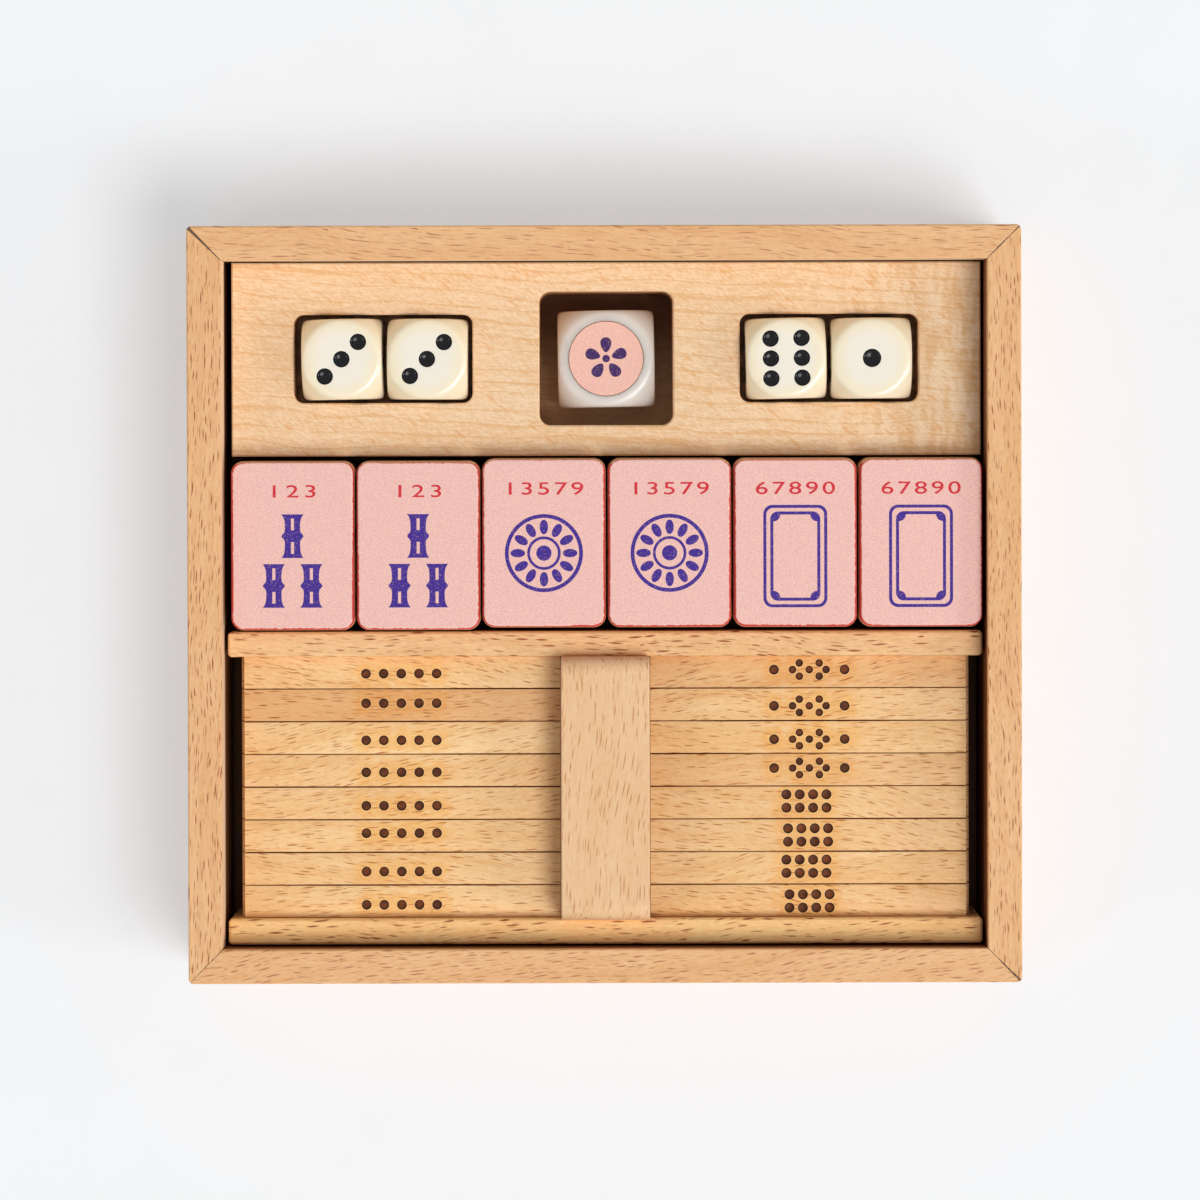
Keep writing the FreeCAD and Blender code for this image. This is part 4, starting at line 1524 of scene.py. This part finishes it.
class CASE_OT_rack(bpy.types.Operator):
    """Finish the rack that holds the counting sticks"""

    bl_idname = "mahjong_case.rack"
    bl_label = "Stick Rack"

    def execute(self, context):
        wood = context.scene.case_wood
        # The front rail gets paler colours than the back rail, as painted light.
        rails = (
            ("rack_rail_back", -2.0, 2.1, wood.rail, wood.beech_dark),
            ("rack_rail_front", 3.0, 2.4, wood.lit_front_rail, wood.lit_front_rail_dark),
        )
        for node, degrees, shift, light, dark in rails:
            changes = {"light": light, "dark": dark, "fleck_amount": 0.5}
            rail = beech_material(f"{node}_beech", wood, degrees, shift, **changes)
            dress(node, rail, wood.edge)
        dress("rack_floor", floor_board_material(wood))
        dress("rack_centre_block", divider_material(wood), wood.edge)
        return {"FINISHED"}


def dot_patterns(sticks):
    """The dots of the three kinds of stick, from the middle of the pattern."""
    large, small = sticks.large_dot / 2, sticks.small_dot / 2
    five = [((step - 2) * 3.5 * MM, 0.0, large) for step in range(5)]
    nine = [(side * 7.0 * MM, 0.0, large) for side in (-1, 1)]
    nine += [(x * MM, 0.0, small) for x in (-3.33, 0.0, 3.33)]
    nine += [(x * MM, y * MM, small) for x in (-1.97, 1.97) for y in (-1.32, 1.32)]
    eight = [
        ((column - 1.5) * 2.65 * MM, row * 1.32 * MM, large * 1.03)
        for column in range(4)
        for row in (-1, 1)
    ]
    return {"five": five, "nine": nine, "eight": eight}


# For each stick from the back: the slant of its grain in degrees, how dark it is, and how far its
# dots lie to the right of and behind its middle in millimetres.
CUTS = {
    "left": (
        (-10, 0.05, -0.2, -0.23),
        (0, 0.4, -0.2, 0.38),
        (8, 0.0, -0.2, -0.47),
        (12, 0.08, -0.2, -0.34),
        (6, 0.05, -0.2, -0.49),
        (2, 0.0, -0.2, 0.56),
        (-7, 0.05, -0.2, -0.57),
        (3, 0.0, -0.2, -0.68),
    ),
    "right": (
        (8, 0.35, 0.22, 0.38),
        (2, 0.1, 0.22, -0.32),
        (-3, 0.0, 0.22, -0.45),
        (3, 0.25, 0.22, 0.32),
        (-7, 0.1, -0.39, 0.25),
        (-8, 0.15, -0.07, 0.0),
        (6, 0.05, -0.41, 0.27),
        (-6, 0.1, 0.2, -0.12),
    ),
}


def stick_kind(side, row):
    """Which dots a stick has. Row 1 is at the back."""
    if side == "left":
        return "five"
    return "nine" if row <= 4 else "eight"


class CASE_OT_sticks(bpy.types.Operator):
    """Make the counting sticks with their burnt dots"""

    bl_idname = "mahjong_case.sticks"
    bl_label = "Counting Sticks"

    def execute(self, context):
        sticks, wood = context.scene.case_sticks, context.scene.case_wood
        patterns = dot_patterns(sticks)
        materials = {}
        for kind, dots in patterns.items():
            dots_group = make_dots_group(f"Dots {kind}", dots)
            materials[kind] = stick_material(f"stick_{kind}", sticks, wood, dots_group)
        draw = random.Random(sticks.seed)
        for side in SIDES:
            for row in range(1, STICK_ROWS + 1):
                kind = stick_kind(side, row)
                node = f"{side}_stick_{row}"
                low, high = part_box(node)
                lean, shade, *shift = CUTS[side][row - 1]
                boxes = [(low, high, lean, shade, Vector((*shift, 0)) * MM)]
                dots, material = patterns[kind], materials[kind]
                stick = self.make(f"{node}_wood", boxes, dots, material, sticks, draw)
                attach(stick, node)
                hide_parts(node)
            self.make_stack(side, patterns, materials, sticks, draw)
        return {"FINISHED"}

    def make_stack(self, side, patterns, materials, sticks, draw):
        """The lower layers, whose uppermost sticks carry the same dots."""
        node = f"{side}_stick_stack"
        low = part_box(node)[0]
        first_low, first_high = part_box(f"{side}_stick_{STICK_ROWS}")
        size, pitch = first_high - first_low, stick_pitch(side)
        for kind in patterns:
            boxes = []
            for row in range(STICK_ROWS):
                if stick_kind(side, STICK_ROWS - row) != kind:
                    continue
                for layer in range(STACK_LAYERS):
                    corner = Vector((low.x, low.y + row * pitch, low.z + layer * size.z))
                    lean, shade = draw.uniform(-7, 7), draw.uniform(0.0, 0.3)
                    boxes.append((corner, corner + size, lean, shade, Vector()))
            if not boxes:
                continue
            dots, material = patterns[kind], materials[kind]
            stack = self.make(f"{node}_{kind}", boxes, dots, material, sticks, draw)
            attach(stack, node)
            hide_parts(node)

    def make(self, name, boxes, dots, material, sticks, draw):
        """Sticks that move together, as one object."""
        bm = bmesh.new()
        starts = []
        for low, high, _, _, shift in boxes:
            starts.append(len(bm.verts))
            add_stick(bm, low, high, dots, shift, sticks)
        stick = finish_mesh(bm, name, material)
        mesh = stick.data
        mesh.attributes.new("grain", "FLOAT_VECTOR", "POINT")
        mesh.attributes.new("mark", "FLOAT_VECTOR", "POINT")
        mesh.attributes.new("shade", "FLOAT", "POINT")
        for start, (low, high, lean, shade, shift) in zip(starts, boxes):
            offset = Vector(draw.uniform(-1, 1) for _ in range(3))
            middle = (low + high) / 2 + shift
            set_places(mesh, start, middle, offset, math.radians(-lean), shade)
        return stick


# Where the lamps are, in metres from the middle of the case, and the power of the lamps beside it
# in watts. The sky gives the first strength, and the camera and reflections see it at the second.
KEY_LIGHT = (0.9, -0.8, 2.1)
SIDE_LIGHTS = {
    "low_light": ((1.9, -0.5, 0.95), 10.0),
    "side_light": ((-1.4, -0.6, 1.1), 2.5),
}
SIDE_LIGHT_SIZE = 0.5
SKY_STRENGTHS = (0.38, 0.92)
# How strongly the floor glows as paper, and how much of that the camera sees in it.
PAPER_GLOW = 1.06
PAPER_SHARE = 0.42


class CASE_OT_stage(bpy.types.Operator):
    """Make the pale floor, the soft lights and the camera straight above"""

    bl_idname = "mahjong_case.stage"
    bl_label = "Stage"

    def execute(self, context):
        stage = context.scene.case_stage
        scene = context.scene
        scene.view_settings.view_transform = "Standard"
        self.add_floor(stage)
        self.add_world(scene)
        sun = {"energy": stage.key_strength, "angle": stage.key_width}
        self.add_lamp("key_light", "SUN", KEY_LIGHT, **sun)
        for name, (place, power) in SIDE_LIGHTS.items():
            self.add_lamp(name, "AREA", place, energy=power, size=SIDE_LIGHT_SIZE)
        self.add_camera(scene, stage)
        return {"FINISHED"}

    def add_floor(self, stage):
        """A matt pale floor, which the camera and reflections see partly as evenly lit paper."""
        bm = bmesh.new()
        bmesh.ops.create_grid(bm, x_segments=1, y_segments=1, size=3.0)
        material, tree, shader = new_material("stage_floor")
        paper = noise(tree, own_place(tree), 60)
        shade = grey(tree, fade(tree, paper, 0.2, 0.8, 0.995, 1.005))
        colour = mix(tree, 1.0, opaque(stage.floor), shade, "MULTIPLY")
        tree.links.new(colour, shader.inputs["Base Color"])
        shader.inputs["Roughness"].default_value = 0.9
        shader.inputs["Specular IOR Level"].default_value = 0.0
        glow = {"Color": colour, "Strength": PAPER_GLOW}
        even = add_node(tree, "ShaderNodeEmission", glow).outputs[0]
        share = calculate(tree, "MULTIPLY", self.seen(tree), PAPER_SHARE)
        blend = add_node(tree, "ShaderNodeMixShader", {0: share, 1: shader.outputs[0], 2: even})
        tree.links.new(blend.outputs[0], tree.nodes["Material Output"].inputs["Surface"])
        floor = finish_mesh(bm, "stage_floor", material)

    def seen(self, tree):
        """1 for what the camera sees, also in a reflection."""
        rays = add_node(tree, "ShaderNodeLightPath").outputs
        mirrored = calculate(tree, "MAXIMUM", rays["Is Glossy Ray"], rays["Is Transmission Ray"])
        return calculate(tree, "MAXIMUM", rays["Is Camera Ray"], mirrored)

    def add_world(self, scene):
        """An even sky for light, which the camera and reflections see as pale as the floor."""
        world = bpy.data.worlds.new("stage_world")
        world.use_nodes = True
        tree = world.node_tree
        background = tree.nodes["Background"]
        background.inputs["Color"].default_value = (1.0, 1.0, 1.0, 1.0)
        strength = fade(tree, self.seen(tree), 0.0, 1.0, *SKY_STRENGTHS)
        tree.links.new(strength, background.inputs["Strength"])
        scene.world = world

    def add_lamp(self, name, kind, place, **settings):
        """A lamp that shines from a place towards the middle of the case."""
        place, data = Vector(place), bpy.data.lights.new(name, kind)
        for setting, value in settings.items():
            setattr(data, setting, value)
        lamp = bpy.data.objects.new(name, data)
        lamp.location = place
        lamp.rotation_euler = place.to_track_quat("Z", "Y").to_euler()
        bpy.context.scene.collection.objects.link(lamp)

    def add_camera(self, scene, stage):
        """Looks down from over the dice. A small lens shift takes in the front of the case."""
        reach = stage.camera_height * math.tan(stage.camera_lean)
        camera = bpy.data.cameras.new("camera")
        camera.lens = camera.sensor_width * stage.camera_height / stage.view_width
        camera.shift_y = (stage.view_y - stage.camera_y + reach) / stage.view_width
        camera.clip_start = 0.05
        eye = bpy.data.objects.new("camera", camera)
        eye.location = (-stage.view_x, stage.camera_y, CASE_HIGH.z + stage.camera_height)
        eye.rotation_euler = (-stage.camera_lean, 0, -stage.camera_turn)
        scene.collection.objects.link(eye)
        scene.camera = eye


class CASE_PT_panel(bpy.types.Panel):
    """Lists the steps that dress the case, and its settings"""

    bl_idname = "CASE_PT_panel"
    bl_label = "Mahjong Case"
    bl_space_type = "VIEW_3D"
    bl_region_type = "UI"
    bl_category = "Case"

    def draw(self, context):
        for operator in OPERATORS:
            self.layout.operator(operator.bl_idname)
        for name, settings in SETTINGS.items():
            box = self.layout.box()
            for prop in settings.__annotations__:
                box.prop(getattr(context.scene, name), prop)


OPERATORS = (
    CASE_OT_stage,
    CASE_OT_frame,
    CASE_OT_dice_block,
    CASE_OT_dice,
    CASE_OT_wind_cube,
    CASE_OT_tiles,
    CASE_OT_rack,
    CASE_OT_sticks,
)


def register():
    for name, settings in SETTINGS.items():
        bpy.utils.register_class(settings)
        setattr(bpy.types.Scene, name, PointerProperty(type=settings))
    for made in (*OPERATORS, CASE_PT_panel):
        bpy.utils.register_class(made)


def unregister():
    for made in (CASE_PT_panel, *reversed(OPERATORS)):
        bpy.utils.unregister_class(made)
    for name, settings in reversed(SETTINGS.items()):
        delattr(bpy.types.Scene, name)
        bpy.utils.unregister_class(settings)


def main():
    """Makes every piece in order."""
    register()
    bpy.ops.mahjong_case.stage()
    bpy.ops.mahjong_case.frame()
    bpy.ops.mahjong_case.dice_block()
    bpy.ops.mahjong_case.dice()
    bpy.ops.mahjong_case.wind_cube()
    bpy.ops.mahjong_case.tiles()
    bpy.ops.mahjong_case.rack()
    bpy.ops.mahjong_case.sticks()
    bpy.context.view_layer.update()


if __name__ == "__main__":
    main()
